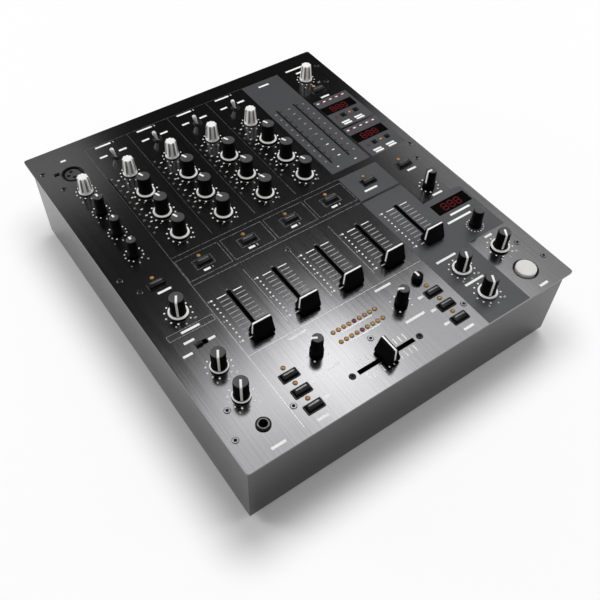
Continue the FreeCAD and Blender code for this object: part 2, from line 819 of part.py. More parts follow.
node_copy("phones_mode_switch", mode_slider, f"{COLUMNS['mic']} - mode_travel / 2", "mode_row")


# Bodies of the controls, seated on the board
def potentiometer():
    body = make_body("potentiometer")
    top = "pot_height - board_drop"
    sketch = make_sketch(body, "XY_Plane", top)
    rectangle(sketch, "pot_size", "pot_size")
    pad(body, sketch, "pot_height", backwards=True)
    sketch = make_sketch(body, "XY_Plane", top)
    rectangle(sketch, "2 * (shaft_radius + shaft_clearance)", "2 * (shaft_radius + shaft_clearance)")
    pocket(body, sketch, "pot_height - pot_floor")
    return body


def slide_potentiometer():
    body = make_body("slide_potentiometer")
    top = "slide_body_height - board_drop"
    sketch = make_sketch(body, "XY_Plane", top)
    rectangle(sketch, "slide_body_width", f"{SLOT_LENGTH} + slide_body_end")
    pad(body, sketch, "slide_body_height", backwards=True)
    sketch = make_sketch(body, "XY_Plane", top)
    rectangle(sketch, "slide_slot_width", f"{SLOT_LENGTH} - slot_end_gap")
    pocket(body, sketch, "slide_body_height - slide_floor")
    return body


def toggle_body():
    """A box under the panel with a threaded neck through it, bored for the lever."""
    body = make_body("toggle_body")
    sketch = make_sketch(body, "XY_Plane", "0 - panel_thickness")
    rectangle(sketch, "toggle_body_width", "toggle_body_length")
    pad(body, sketch, "board_drop - panel_thickness", backwards=True)
    sketch = make_sketch(body, "XY_Plane", "0 - panel_thickness")
    polygon(sketch, "bushing_radius", "bushing_sides")
    pad(body, sketch, "panel_thickness + bushing_rise")
    sketch = make_sketch(body, "XY_Plane", "bushing_rise")
    polygon(sketch, "bushing_bore", "bushing_sides")
    pocket(body, sketch, "bushing_rise + panel_thickness + bushing_bore")
    return body


pot = potentiometer()
slide = slide_potentiometer()
toggle_box = toggle_body()
controls = [copy_of(pot, "pot", x, y) for _, _, x, y, _ in KNOBS]
controls += [copy_of(slide, "slide_pot", x, "fader_row") for _, x in FADERS]
turned_slide = place(doc.addObject("Part::Compound", "turned_slide"))
turned_slide.Links = [slide]
turned_slide.Placement.Rotation = FreeCAD.Rotation(FreeCAD.Vector(0, 0, 1), 90)
controls.append(copy_of(turned_slide, "crossfader_slide", "crossfader_column", "crossfader_row"))
controls += [copy_of(toggle_box, "toggle_box", COLUMNS[channel], "input_row") for channel in CHANNELS]
for x, y in ALL_BUTTONS + TEMPO_SPOTS + [EFFECT_SPOT]:
    controls.append(box("push_switch", "push_switch_size", "push_switch_size", "push_switch_height",
                        x, y, BOARD_TOP))
controls.append(box("mode_body", "mode_body_length", "mode_body_width",
                    "board_drop - mode_sink - mode_seat_gap", COLUMNS["mic"], "mode_row", BOARD_TOP))
node("control_bodies", *controls)

# Display modules, in windows of the panel
TEMPO_DISPLAY = ("tempo_window_length", "tempo_window_width")
EFFECT_DISPLAY = ("effect_window_length", "effect_window_width")
DISPLAYS = [(TEMPO_DISPLAY, "tempo_column", row_place) for row_place in TEMPO_ROWS]
DISPLAYS.append((EFFECT_DISPLAY, "tempo_column", "display_row"))
modules = []
for (length, width), x, y in DISPLAYS:
    modules.append(box("display", f"{length} - 2 * display_clearance", f"{width} - 2 * display_clearance",
                       "board_drop - display_sink", x, y, BOARD_TOP))
node("display_modules", *modules)

# Indicator lights, as lens caps on the panel: round ones, and square ones in the level columns
round_lights = [(x, f"{y} + light_offset") for x, y in ALL_BUTTONS]
for lane in range(2):
    for step in range(int(value("beat_light_count"))):
        round_lights.append((f"crossfader_column + ({step} - (beat_light_count - 1) / 2) * beat_light_pitch",
                             f"crossfader_row + beat_light_rise - {lane} * beat_row_pitch"))
for x, y in TEMPO_SPOTS:
    round_lights.append((f"{x} - tempo_button_spread", y))
square_lights = []
for step in range(int(value("level_light_count"))):
    for channel in CHANNELS:
        square_lights.append((f"{COLUMNS[channel]} - level_light_offset",
                              f"trim_row + level_light_lead - {step} * level_light_pitch"))
    for side in ("-", "+"):
        square_lights.append((f"{COLUMNS['master']} {side} meter_light_offset",
                              f"input_row - meter_light_drop - {step} * meter_light_pitch"))
for row_place in TEMPO_ROWS:
    for step in range(int(value("tempo_light_count"))):
        square_lights.append((f"tempo_column + ({step} - (tempo_light_count - 1) / 2) * tempo_light_pitch",
                              f"{row_place} + tempo_light_rise"))
lights = [prism("light", "light_sides", "light_radius", "light_rise", x, y, PANEL_TOP)
          for x, y in round_lights]
lights += [box("level_light", "level_light_size", "level_light_size", "level_light_rise", x, y, PANEL_TOP)
           for x, y in square_lights]
node("indicator_leds", *lights)


# Sockets on the panel
def microphone_socket():
    body = make_body("microphone_socket")
    inner = "mic_socket_radius - mic_ring_width"
    revolve(body, [("0", "0 - mic_insert_sink"), ("mic_insert_radius", "0 - mic_insert_sink"),
                   ("mic_insert_radius", "0 - mic_groove_depth"), (inner, "0 - mic_groove_depth"),
                   (inner, "mic_lip"), ("mic_socket_radius", "mic_lip"),
                   ("mic_socket_radius", "0 - mic_socket_depth"), ("0", "0 - mic_socket_depth")])
    sketch = make_sketch(body, "XY_Plane", "0 - mic_insert_sink")
    for turn in (90, 180, 270):
        polygon(sketch, "mic_pin_radius", "mic_pin_sides",
                f"mic_pin_circle * cos({turn})", f"mic_pin_circle * sin({turn})")
    pocket(body, sketch, "mic_groove_depth")
    return body


def phones_jack():
    """A square body under the panel, with a neck and nut above it, bored for the plug."""
    body = make_body("phones_jack")
    bore_floor = "jack_bore_depth - jack_neck_rise"
    sketch = make_sketch(body, "XY_Plane", "0 - panel_thickness")
    rectangle(sketch, "jack_body_size", "jack_body_size")
    pad(body, sketch, f"{bore_floor} + jack_floor - panel_thickness", backwards=True)
    sketch = make_sketch(body, "XY_Plane", "0 - panel_thickness")
    circle(sketch, "jack_neck_radius")
    pad(body, sketch, "panel_thickness + jack_neck_rise")
    sketch = make_sketch(body, "XY_Plane")
    circle(sketch, "jack_nut_radius")
    pad(body, sketch, "jack_nut_height")
    sketch = make_sketch(body, "XY_Plane", "jack_neck_rise")
    circle(sketch, "jack_bore_radius")
    pocket(body, sketch, "jack_bore_depth")
    return body


# Sockets at the back, drawn from the outer face of the rear wall
def phono_block():
    body = make_body("phono_block")
    sketch = make_sketch(body, "XZ_Plane", "0 - socket_lip")
    rectangle(sketch, "2 * phono_pitch", "2 * phono_pitch")
    pad(body, sketch, "socket_lip + phono_block_depth")
    sketch = make_sketch(body, "XZ_Plane", "0 - socket_lip")
    for x in ("0 - phono_pitch / 2", "phono_pitch / 2"):
        for z in ("0 - phono_pitch / 2", "phono_pitch / 2"):
            polygon(sketch, "phono_radius", "phono_sides", x, z)
    pad(body, sketch, "phono_length", backwards=True)
    return body


def recessed_frame(kind):
    """A rim on the wall's outer face, a body through the wall, and a recess in it."""
    body = make_body(f"{kind}_frame")
    width, height, wall = f"{kind}_width", f"{kind}_height", f"{kind}_wall"
    sketch = make_sketch(body, "XZ_Plane", "0 - socket_lip")
    rectangle(sketch, f"{width} + 2 * {kind}_rim", f"{height} + 2 * {kind}_rim")
    pad(body, sketch, "socket_lip")
    sketch = make_sketch(body, "XZ_Plane")
    rectangle(sketch, width, height)
    pad(body, sketch, f"{kind}_depth")
    sketch = make_sketch(body, "XZ_Plane", "0 - socket_lip")
    rectangle(sketch, f"{width} - 2 * {wall}", f"{height} - 2 * {wall}")
    pocket(body, sketch, f"socket_lip + {kind}_depth - {kind}_floor", backwards=True)
    return body


mains_inlet = recessed_frame("inlet")
blade_sketch = make_sketch(mains_inlet, "XZ_Plane", "inlet_depth - inlet_floor")
rectangle(blade_sketch, "blade_thickness", "blade_width", "0 - blade_spread", "0 - blade_rise")
rectangle(blade_sketch, "blade_thickness", "blade_width", "blade_spread", "0 - blade_rise")
rectangle(blade_sketch, "blade_thickness", "blade_width", "0", "blade_rise")
pad(mains_inlet, blade_sketch, "blade_length", backwards=True)

switch_frame = recessed_frame("switch")
pin_sketch = make_sketch(switch_frame, "YZ_Plane")
circle(pin_sketch, "pin_radius + pin_clearance", "0 - rocker_pivot")
pocket(switch_frame, pin_sketch, "switch_width - 2 * switch_wall + 2 * (pin_length + pin_clearance)",
       both_ways=True)

BLOCK_COLUMNS = [COLUMNS[name] for name in ["mic", *CHANNELS]]
SOCKET_Z = "foot_height + socket_height"
block = phono_block()
rear_sockets = [copy_of(block, "block", x, REAR_WALL, SOCKET_Z) for x in BLOCK_COLUMNS]
ground_posts = []
for step in (0, 2):
    post = prism("ground_post", "ground_sides", "ground_radius", "ground_length",
                 f"{BLOCK_COLUMNS[step]} + column_pitch / 2", f"{REAR_WALL} + ground_length",
                 "foot_height + ground_height", angle="90", axis=(1, 0, 0))
    ground_posts.append(post)
node("sockets",
     copy_of(microphone_socket(), "mic_socket", COLUMNS["mic"], "input_row"),
     copy_of(phones_jack(), "jack", COLUMNS["mic"], "jack_row"),
     copy_of(mains_inlet, "inlet", "inlet_column", REAR_WALL, SOCKET_Z),
     copy_of(switch_frame, "switch_surround", "switch_column", REAR_WALL, SOCKET_Z),
     *rear_sockets, *ground_posts)

# Power switch rocker, on two pins in its frame, drawn from its pivot
rocker = make_body("rocker")
rocker_sketch = make_sketch(rocker, "YZ_Plane")
outline(rocker_sketch, [
    ("rocker_valley", "0"),
    ("rocker_edge", "rocker_height / 2"),
    ("0", "rocker_height / 2"),
    ("0 - rocker_back", "rocker_tail / 2"),
    ("0 - rocker_back", "0 - rocker_tail / 2"),
    ("0", "0 - rocker_height / 2"),
    ("rocker_edge", "0 - rocker_height / 2"),
])
rocker_width = "switch_width - 2 * switch_wall - 2 * rocker_clearance"
pad(rocker, rocker_sketch, rocker_width, both_ways=True)
rocker_pin = make_sketch(rocker, "YZ_Plane")
polygon(rocker_pin, "pin_radius", "pin_sides")
pad(rocker, rocker_pin, "switch_width - 2 * switch_wall + 2 * pin_length", both_ways=True)
node_copy("power_rocker", rocker, "switch_column", f"{REAR_WALL} - rocker_pivot", SOCKET_Z,
          angle="rocker_lean", axis=(1, 0, 0))


# Top panel: a plate with rounded corners and an opening for every control
def top_panel():
    body = make_body("panel_plate")
    sketch = make_sketch(body, "XY_Plane")
    rectangle(sketch, "panel_width", "panel_depth")
    plate = pad(body, sketch, "panel_thickness", backwards=True)
    doc.recompute()
    rounding = body.newObject("PartDesign::Fillet", "panel_corners")
    rounding.Base = (plate, edges_along(plate.Shape, FreeCAD.Vector(0, 0, 1)))
    bind(rounding, Radius="panel_corner")
    holes = make_sketch(body, "XY_Plane")
    circle(holes, "effect_hole_radius", *EFFECT_SPOT)
    circle(holes, "mic_socket_radius + mic_hole_clearance", COLUMNS["mic"], "input_row")
    circle(holes, "jack_neck_radius + mic_hole_clearance", COLUMNS["mic"], "jack_row")
    pocket(body, holes)
    windows = make_sketch(body, "XY_Plane")
    for x, y in ALL_BUTTONS:
        rectangle(windows, "button_length + 2 * (button_clearance + bezel_wall + window_clearance)",
                  "button_width + 2 * (button_clearance + bezel_wall + window_clearance)", x, y)
    for (length, width), x, y in DISPLAYS:
        rectangle(windows, length, width, x, y)
    rectangle(windows, "mode_cap_length + mode_travel + 2 * mode_clearance",
              "mode_cap_width + 2 * mode_clearance", COLUMNS["mic"], "mode_row")
    pocket(body, windows)
    slots = make_sketch(body, "XY_Plane")
    for _, x in FADERS:
        rectangle(slots, "slot_width", SLOT_LENGTH, x, "fader_row")
    rectangle(slots, SLOT_LENGTH, "slot_width", "crossfader_column", "crossfader_row")
    pocket(body, slots)
    return body


def drill(label, sides, radius, spots):
    """Cutters for like holes, from above the panel to below it."""
    return [prism(label, sides, radius, "2 * panel_thickness", x, y, "0 - 3 * panel_thickness / 2")
            for x, y in spots]


drills = drill("shaft_drill", "shaft_sides", "shaft_radius + hole_clearance", [item[2:4] for item in KNOBS])
drills += drill("bushing_drill", "bushing_sides", "bushing_radius + bushing_clearance",
                [(COLUMNS[channel], "input_row") for channel in CHANNELS])
drills += drill("tempo_drill", "tempo_button_sides", "tempo_button_radius + tempo_hole_clearance",
                TEMPO_SPOTS)
cutters = doc.addObject("Part::Compound", "cutters")
cutters.Links = drills
drilled_panel = doc.addObject("Part::Cut", "drilled_panel")
drilled_panel.Base = top_panel()
drilled_panel.Tool = cutters
node_copy("top_panel", drilled_panel)


# Base chassis: a folded sheet tub, open at the top, with flanges along both sides
def base_chassis():
    body = make_body("chassis_tub")
    width, front = "panel_width - 2 * side_inset", "front_inset - panel_depth / 2"
    sketch = make_sketch(body, "XY_Plane")
    rectangle(sketch, width, f"{REAR_WALL} - ({front})", y=f"({REAR_WALL} + {front}) / 2")
    block_pad = pad(body, sketch, "chassis_height")
    doc.recompute()
    bends = edges_at(block_pad.Shape, "0")
    rounding = body.newObject("PartDesign::Fillet", "chassis_bends")
    rounding.Base = (block_pad, bends)
    bind(rounding, Radius="bend_radius")
    doc.recompute()
    top_face = next(f"Face{number}" for number, face in enumerate(rounding.Shape.Faces, start=1)
                    if face.CenterOfMass.z > value("chassis_height") - 1e-6)
    shell = body.newObject("PartDesign::Thickness", "chassis_shell")
    shell.Base = (rounding, [top_face])
    bind(shell, Value="sheet_thickness")
    shell.Reversed = True
    doc.recompute()
    flanges = make_sketch(body, "XY_Plane", "chassis_height")
    reach = "panel_width / 2 - side_inset - sheet_thickness / 2"
    for sign in ("", "0 - "):
        rectangle(flanges, "flange_width", f"{REAR_WALL} - ({front}) - 2 * bend_radius",
                  f"{sign}({reach} - flange_width / 2)", f"({REAR_WALL} + {front}) / 2")
    pad(body, flanges, "sheet_thickness", backwards=True)
    cutouts = make_sketch(body, "XZ_Plane")
    for x in BLOCK_COLUMNS:
        rectangle(cutouts, "2 * (phono_pitch + cutout_clearance)", "2 * (phono_pitch + cutout_clearance)",
                  x, "socket_height")
    for kind in ("inlet", "switch"):
        rectangle(cutouts, f"{kind}_width + 2 * cutout_clearance", f"{kind}_height + 2 * cutout_clearance",
                  f"{kind}_column", "socket_height")
    pocket(body, cutouts)
    return body


node_copy("base_chassis", base_chassis(), z="foot_height")
FOOT_COLUMN, FOOT_ROW = "panel_width / 2 - foot_inset", "panel_depth / 2 - foot_inset"
feet = [prism("foot", "foot_sides", "foot_radius", "foot_height",
              f"{across}({FOOT_COLUMN})", f"{along}({FOOT_ROW})")
        for across in ("", "0 - ") for along in ("", "0 - ")]
node("rubber_feet", *feet)


# Circuit boards: the control board under the panel on posts, and the board behind the rear sockets
def control_board():
    """A plate under all the controls, notched round the microphone socket and the jack."""
    body = make_body("control_board")
    left, right = f"{COLUMNS['mic']} - board_margin", "effect_column + board_margin"
    front, rear = "crossfader_row - board_margin", "input_row + board_margin"
    notch_x = f"{COLUMNS['mic']} + mic_socket_radius + jack_board_gap"
    notch_y = "input_row - mic_socket_radius - jack_board_gap"
    sketch = make_sketch(body, "XY_Plane")
    outline(sketch, [(left, front), (right, front), (right, rear), (notch_x, rear),
                     (notch_x, notch_y), (left, notch_y)])
    pad(body, sketch, "board_thickness", backwards=True)
    sketch = make_sketch(body, "XY_Plane")
    rectangle(sketch, "jack_body_size + 2 * jack_board_gap", "jack_body_size + 2 * jack_board_gap",
              COLUMNS["mic"], "jack_row")
    pocket(body, sketch)
    return body


POST_SPOTS = [
    ("crossfader_column - post_span", "crossfader_row"),
    ("crossfader_column + post_span", "crossfader_row"),
    ("crossfader_column", "cue_row - post_gap"),
    ("0 - rear_post_column", "input_row - rear_post_drop"),
    ("rear_post_column", "input_row - rear_post_drop"),
]
posts = [prism("post", "post_sides", "post_radius", "board_drop - panel_thickness", x, y, BOARD_TOP)
         for x, y in POST_SPOTS]
socket_board = box("socket_board", f"{BLOCK_COLUMNS[-1]} - {BLOCK_COLUMNS[0]} + 2 * phono_pitch",
                   "board_thickness", "2 * phono_pitch + 2 * board_thickness",
                   f"({BLOCK_COLUMNS[0]} + {BLOCK_COLUMNS[-1]}) / 2",
                   f"{REAR_WALL} - phono_block_depth - board_thickness / 2",
                   f"{SOCKET_Z} - phono_pitch - board_thickness")
node("circuit_boards", copy_of(control_board(), "main_board", z=BOARD_TOP), socket_board, *posts)

# Power supply: board on spacers, transformer, capacitors and finned heat sink
SUPPLY_TOP = f"({BASE_TOP} + supply_spacer + board_thickness)"
supply_board = box("supply_board", "supply_length", "supply_width", "board_thickness",
                   "supply_column", "supply_row", f"{BASE_TOP} + supply_spacer")
spacers = []
for across in ("-", "+"):
    for along in ("-", "+"):
        spacers.append(prism("spacer", "post_sides", "post_radius", "supply_spacer",
                             f"supply_column {across} (supply_length / 2 - 2 * post_radius)",
                             f"supply_row {along} (supply_width / 2 - 2 * post_radius)", BASE_TOP))
transformer = make_body("transformer")
core_sketch = make_sketch(transformer, "XY_Plane")
rectangle(core_sketch, "core_length", "core_width")
pad(transformer, core_sketch, "core_height")
coil_sketch = make_sketch(transformer, "XY_Plane", "(core_height - coil_height) / 2")
rectangle(coil_sketch, "coil_length", "coil_width")
pad(transformer, coil_sketch, "coil_height")
heat_sink = make_body("heat_sink")
sink_sketch = make_sketch(heat_sink, "XY_Plane")
sink_points = [("0", "0")]
for step in range(int(value("sink_fin_count"))):
    start = f"{step} * sink_fin_pitch"
    sink_points += [(start, "sink_depth"), (f"{start} + sink_fin", "sink_depth"),
                    (f"{start} + sink_fin", "sink_base"), (f"{step + 1} * sink_fin_pitch", "sink_base")]
sink_points = sink_points[:-2] + [(f"({sink_points[-3][0]})", "0")]
outline(sink_sketch, sink_points)
pad(heat_sink, sink_sketch, "sink_height")
LEFT_PART = "supply_column - supply_length / 4"
RIGHT_PART = "supply_column + supply_length / 4"
node("power_supply", supply_board, *spacers,
     copy_of(transformer, "transformer_core", LEFT_PART, "supply_row", SUPPLY_TOP),
     copy_of(heat_sink, "sink", RIGHT_PART, "supply_row + supply_width / 4", SUPPLY_TOP),
     *[prism("capacitor", "capacitor_sides", "capacitor_radius", "capacitor_height",
             f"{RIGHT_PART} + ({step} - 1 / 2) * capacitor_pitch", "supply_row - supply_width / 4",
             SUPPLY_TOP)
       for step in range(2)])

# Work everything out, test it and write one file for each sub-part
doc.recompute()
failed = [item.Name for item in doc.Objects if {"Invalid", "Error"} & set(item.State)]
if failed:
    raise RuntimeError(f"objects failed: {failed}")
for label, item in nodes.items():
    if item.Shape.isNull() or not item.Shape.isValid() or not item.Shape.Solids:
        raise RuntimeError(f"{label} has no valid solid")
os.makedirs("parts", exist_ok=True)
for label, item in nodes.items():
    item.Shape.exportStep(f"parts/{label}.step")
print(len(nodes), "sub-parts written")
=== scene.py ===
import json
import math

import bmesh
import bpy
from mathutils import Matrix, Vector


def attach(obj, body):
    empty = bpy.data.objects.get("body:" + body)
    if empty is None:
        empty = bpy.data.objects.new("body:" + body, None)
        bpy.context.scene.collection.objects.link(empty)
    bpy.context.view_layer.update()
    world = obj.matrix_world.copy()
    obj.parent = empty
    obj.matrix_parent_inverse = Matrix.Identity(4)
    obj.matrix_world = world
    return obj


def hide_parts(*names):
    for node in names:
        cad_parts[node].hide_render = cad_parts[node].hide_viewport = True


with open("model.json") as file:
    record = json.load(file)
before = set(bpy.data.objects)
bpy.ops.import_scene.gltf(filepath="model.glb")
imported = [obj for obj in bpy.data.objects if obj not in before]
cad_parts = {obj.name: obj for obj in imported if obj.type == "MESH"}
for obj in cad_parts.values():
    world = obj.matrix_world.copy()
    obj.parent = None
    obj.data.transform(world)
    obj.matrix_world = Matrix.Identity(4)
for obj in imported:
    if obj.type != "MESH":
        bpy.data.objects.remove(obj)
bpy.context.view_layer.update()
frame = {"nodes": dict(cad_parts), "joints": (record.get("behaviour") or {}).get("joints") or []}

# Base chassis
# The lower case is one tub folded from steel sheet, open at the top, with
# flanges along both sides that carry the panel. It is painted black, with a
# satin gloss and a fine grain.
NOISE_LOW, NOISE_HIGH = 0.3, 0.7


def add_node(tree, kind, inputs, **settings):
    """Adds a node, each input set to a value or joined to another node's output."""
    added = tree.nodes.new(kind)
    for name, setting in settings.items():
        setattr(added, name, setting)
    for name, source in inputs.items():
        if isinstance(source, bpy.types.NodeSocket):
            tree.links.new(source, added.inputs[name])
        else:
            added.inputs[name].default_value = source
    return added


def finish(name, colour, roughness, grain=None, metallic=0.0, specular=0.5, coat=0.0, stretch=(1, 1, 1)):
    """A surface with a colour and a gloss. The grain is noise of one scale, which varies the
    colour by a share and the gloss by an amount, with its relief in metres."""
    made = bpy.data.materials.new(name)
    made.use_nodes = True
    tree = made.node_tree
    shader = tree.nodes["Principled BSDF"]
    values = {"Base Color": (*colour, 1), "Roughness": roughness, "Metallic": metallic,
              "Specular IOR Level": specular, "Coat Weight": coat, "Coat Roughness": 0.08}
    for socket, setting in values.items():
        shader.inputs[socket].default_value = setting
    if not grain:
        return made
    scale, tint, gloss, depth = grain
    spot = add_node(tree, "ShaderNodeTexCoord", {}).outputs["Object"]
    spot = add_node(tree, "ShaderNodeMapping", {"Vector": spot, "Scale": stretch}).outputs["Vector"]
    noise = add_node(tree, "ShaderNodeTexNoise", {"Vector": spot, "Scale": scale, "Detail": 3.0})
    level = noise.outputs["Fac"]
    ramp = add_node(tree, "ShaderNodeValToRGB", {"Fac": level})
    for stop, position, share in zip(ramp.color_ramp.elements, (NOISE_LOW, NOISE_HIGH), (1 - tint, 1 + tint)):
        stop.position = position
        stop.color = (*(channel * share for channel in colour), 1)
    tree.links.new(ramp.outputs["Color"], shader.inputs["Base Color"])
    spread = add_node(tree, "ShaderNodeMapRange", {
        "Value": level, "From Min": NOISE_LOW, "From Max": NOISE_HIGH,
        "To Min": roughness - gloss, "To Max": roughness + gloss})
    tree.links.new(spread.outputs["Result"], shader.inputs["Roughness"])
    relief = add_node(tree, "ShaderNodeBump", {"Height": level, "Strength": 1.0, "Distance": depth})
    tree.links.new(relief.outputs["Normal"], shader.inputs["Normal"])
    return made


def dress(node, made):
    """Gives a solid that stays in view its finish."""
    slots = frame["nodes"][node].data.materials
    for number in range(len(slots)):
        slots[number] = made
    if not len(slots):
        slots.append(made)


case_paint = finish("case_paint", (0.016, 0.016, 0.0165), 0.2, (1500, 0.12, 0.04, 0.00001), specular=0.4)
dress("base_chassis", case_paint)

# Rubber feet
# Four black rubber feet stand under the corners of the tub. Each is moulded
# with a rounded rim and a sunk middle, where a screw holds it.
FOOT_RADIUS, FOOT_HEIGHT = 9.0, 3.0
FOOT_SPOTS = [(across * 134, along * 162) for across in (-1, 1) for along in (-1, 1)]
MILLIMETRES = Matrix.Scale(0.001, 4)
CREASE = math.radians(35)


def at(x, y, z=0):
    """A place, without a turn."""
    return Matrix.Translation((x, y, z))


PANEL_TOP = 85.0
ON_PANEL = MILLIMETRES @ at(0, 0, PANEL_TOP)


def skin(mesh, low, high, finish_number=0):
    """Joins two loops of points with faces; a loop of one point is a pole."""
    count = max(len(low), len(high))
    for step in range(count):
        after = (step + 1) % count
        corners = [low[step % len(low)], low[after % len(low)],
                   high[after % len(high)], high[step % len(high)]]
        mesh.faces.new(list(dict.fromkeys(corners))).material_index = finish_number


def turned(mesh, profile, steps, place, shape=None):
    """Turns (radius, height) points about the upright axis. A third number picks a finish
    other than the first, and shape alters the radius."""
    loops = []
    for radius, height, *_ in profile:
        loop = []
        for step in range(steps if radius else 1):
            angle = math.tau * step / steps
            reach = shape(radius, height, angle) if shape else radius
            point = Vector((-reach * math.sin(angle), reach * math.cos(angle), height))
            loop.append(mesh.verts.new(place @ point))
        loops.append(loop)
    for low, high, point in zip(loops, loops[1:], profile[1:]):
        skin(mesh, low, high, (*point, 0)[2])


def piece(name, mesh, finishes, body="case", stands_for=None, where=ON_PANEL):
    """Makes a built mesh a piece of the object. On a moving body, it stands for that body's solid."""
    bmesh.ops.transform(mesh, matrix=where, verts=mesh.verts)
    bmesh.ops.recalc_face_normals(mesh, faces=mesh.faces)
    data = bpy.data.meshes.new(name)
    mesh.to_mesh(data)
    mesh.free()
    for made in finishes:
        data.materials.append(made)
    if body != "case":
        stands_for = body
    settle(name, data, body, stands_for)


def settle(name, data, body, stands_for):
    """Shades a mesh, shows it and ties it to its body."""
    data.polygons.foreach_set("use_smooth", [True] * len(data.polygons))
    data.set_sharp_from_angle(angle=CREASE)
    made = bpy.data.objects.new(name, data)
    bpy.context.scene.collection.objects.link(made)
    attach(made, body)
    if stands_for:
        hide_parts(stands_for)


foot_rubber = finish("foot_rubber", (0.02, 0.02, 0.02), 0.75, (900, 0.2, 0.08, 0.00005), specular=0.3)
screw_steel = finish("screw_steel", (0.16, 0.16, 0.163), 0.25, (1200, 0.1, 0.08, 0.00001), metallic=1.0)
feet = bmesh.new()
for x, y in FOOT_SPOTS:
    turned(feet, [(0, 1.0, 1), (1.6, 1.0, 1), (2.4, 1.5, 1), (3.0, 1.9), (3.3, 0.4), (3.8, 0),
                  (FOOT_RADIUS - 1.1, 0), (FOOT_RADIUS - 0.4, 0.3), (FOOT_RADIUS - 0.1, 0.9),
                  (FOOT_RADIUS - 0.5, FOOT_HEIGHT), (0, FOOT_HEIGHT)], 40, at(x, y))
piece("rubber_feet_moulded", feet, [foot_rubber, screw_steel], stands_for="rubber_feet",
      where=MILLIMETRES)

# Boards, supply and control bodies
# The control board hangs under the panel, with the bodies of the controls
# seated on it, and the supply stands on the tub's floor. They are glass
# laminate, moulded black plastic and folded metal, hardly seen from outside.
dress("circuit_boards", finish("board_laminate", (0.012, 0.05, 0.022), 0.45, (700, 0.25, 0.06, 0.00002)))
dress("power_supply", finish("supply_parts", (0.09, 0.08, 0.06), 0.5, (500, 0.2, 0.1, 0.00003), metallic=0.3))
dress("control_bodies", finish("control_plastic", (0.012, 0.012, 0.013), 0.5, (900, 0.2, 0.06, 0.00002)))

# Top panel
# The panel is 2 mm aluminium sheet with rounded corners, brushed from front
# to rear and anodised dark. It is punched for every control and lies on the
# tub's flanges.
brushed_panel = finish("brushed_panel", (0.135, 0.135, 0.138), 0.18, (1000, 0.16, 0.02, 0.0000008),
                       metallic=1.0, stretch=(1, 0.006, 1))
dress("top_panel", brushed_panel)

# Printed panel areas
# Screen-printed flat grey ink marks out the metering and effect sections. The
# film is left open at the fader slot, the button windows and the displays.
MIC, CHANNELS, MASTER = -129.9, [-86.6, -43.3, 0.0, 43.3], 86.6
FADER_COLUMNS = CHANNELS + [MASTER]
EFFECT, TEMPO, PARAMETER = 128.8, 130.4, 84.8
CUE_ROW, FADER_ROW, DISPLAY_ROW = -8.5, -72.5, -71.4
TEMPO_ROWS, TEMPO_STEP = [94.0, 44.9], 7.65
AREA_LEFT, AREA_RIGHT, PRINT_REAR = 65, 108.6, 171
SLOT_WIDTH, SLOT_LENGTH = 2.8, 53
GREY_FILM, WHITE_FILM = 0.02, 0.04


def box_loop(x0, y0, x1, y1):
    """The corners of a rectangle, in order."""
    return [(x0, y0), (x1, y0), (x1, y1), (x0, y1)]


def window(x, y, length, width):
    """The corners of a rectangle, from its middle."""
    return box_loop(x - length / 2, y - width / 2, x + length / 2, y + width / 2)


def tempo_pair(row):
    """The places of the two tempo buttons under a display."""
    return [(TEMPO + 3.45 + side * TEMPO_STEP, row - 13.1) for side in (-1, 1)]


def printed(mesh, loops, thickness):
    """Lays ink on the panel: the first loop is the film's edge, the others are openings in it."""
    edges = []
    for loop in loops:
        corners = [mesh.verts.new((x, y, 0)) for x, y in loop]
        edges += [mesh.edges.new(pair) for pair in zip(corners, corners[1:] + corners[:1])]
    filled = bmesh.ops.triangle_fill(mesh, use_beauty=True, edges=edges)["geom"]
    film = [item for item in filled if isinstance(item, bmesh.types.BMFace)]
    raised = bmesh.ops.extrude_face_region(mesh, geom=film)["geom"]
    upper = [item for item in raised if isinstance(item, bmesh.types.BMVert)]
    bmesh.ops.translate(mesh, vec=(0, 0, thickness), verts=upper)


grey_ink = finish("grey_ink", (0.053, 0.054, 0.06), 0.42, (900, 0.06, 0.04, 0.000006))
areas = bmesh.new()
printed(areas, [box_loop(AREA_LEFT, 17, AREA_RIGHT, PRINT_REAR)], GREY_FILM)
printed(areas, [box_loop(AREA_LEFT, -25.5, AREA_RIGHT, 9), window(MASTER, CUE_ROW, 14.8, 8.0)], GREY_FILM)
printed(areas, [[(64, -187.6), (64, -28), (AREA_RIGHT, -28), (AREA_RIGHT, -58.5), (152, -58.5), (152, -115.5),
                 (109.6, -115.5), (109.6, -187.6)],
                window(MASTER, FADER_ROW, SLOT_WIDTH, SLOT_LENGTH),
                window(TEMPO, DISPLAY_ROW, 39, 13.5)], GREY_FILM)
for row in TEMPO_ROWS:
    printed(areas, [box_loop(111.5, row - 28.8, 152, row + 17.6), window(TEMPO, row, 37.6, 12.4),
                    *(window(x, y, 5.6, 5.6) for x, y in tempo_pair(row))], GREY_FILM)
piece("printed_grey_areas", areas, [grey_ink])

# Printed lines and ticks
# Metallic ink draws the frames and dividers, and grey, white and black inks
# the ticks, label bars and borders of the lights and slots. Every mark is a
# straight bar of ink, as thick as one pass of the screen. The thin pale outline
# round each channel's cue button is drawn the same way, but it is a painted
# highlight of the button frame's edge, not ink.


def new_group(name, sizes):
    """A geometry tree with its spots, named sizes and finish as inputs."""
    group = bpy.data.node_groups.new(name, "GeometryNodeTree")
    group.interface.new_socket("Spots", in_out="INPUT", socket_type="NodeSocketGeometry")
    for size in sizes:
        group.interface.new_socket(size, in_out="INPUT", socket_type="NodeSocketFloat")
    group.interface.new_socket("Finish", in_out="INPUT", socket_type="NodeSocketMaterial")
    group.interface.new_socket("Copies", in_out="OUTPUT", socket_type="NodeSocketGeometry")
    return group, group.nodes.new("NodeGroupInput").outputs


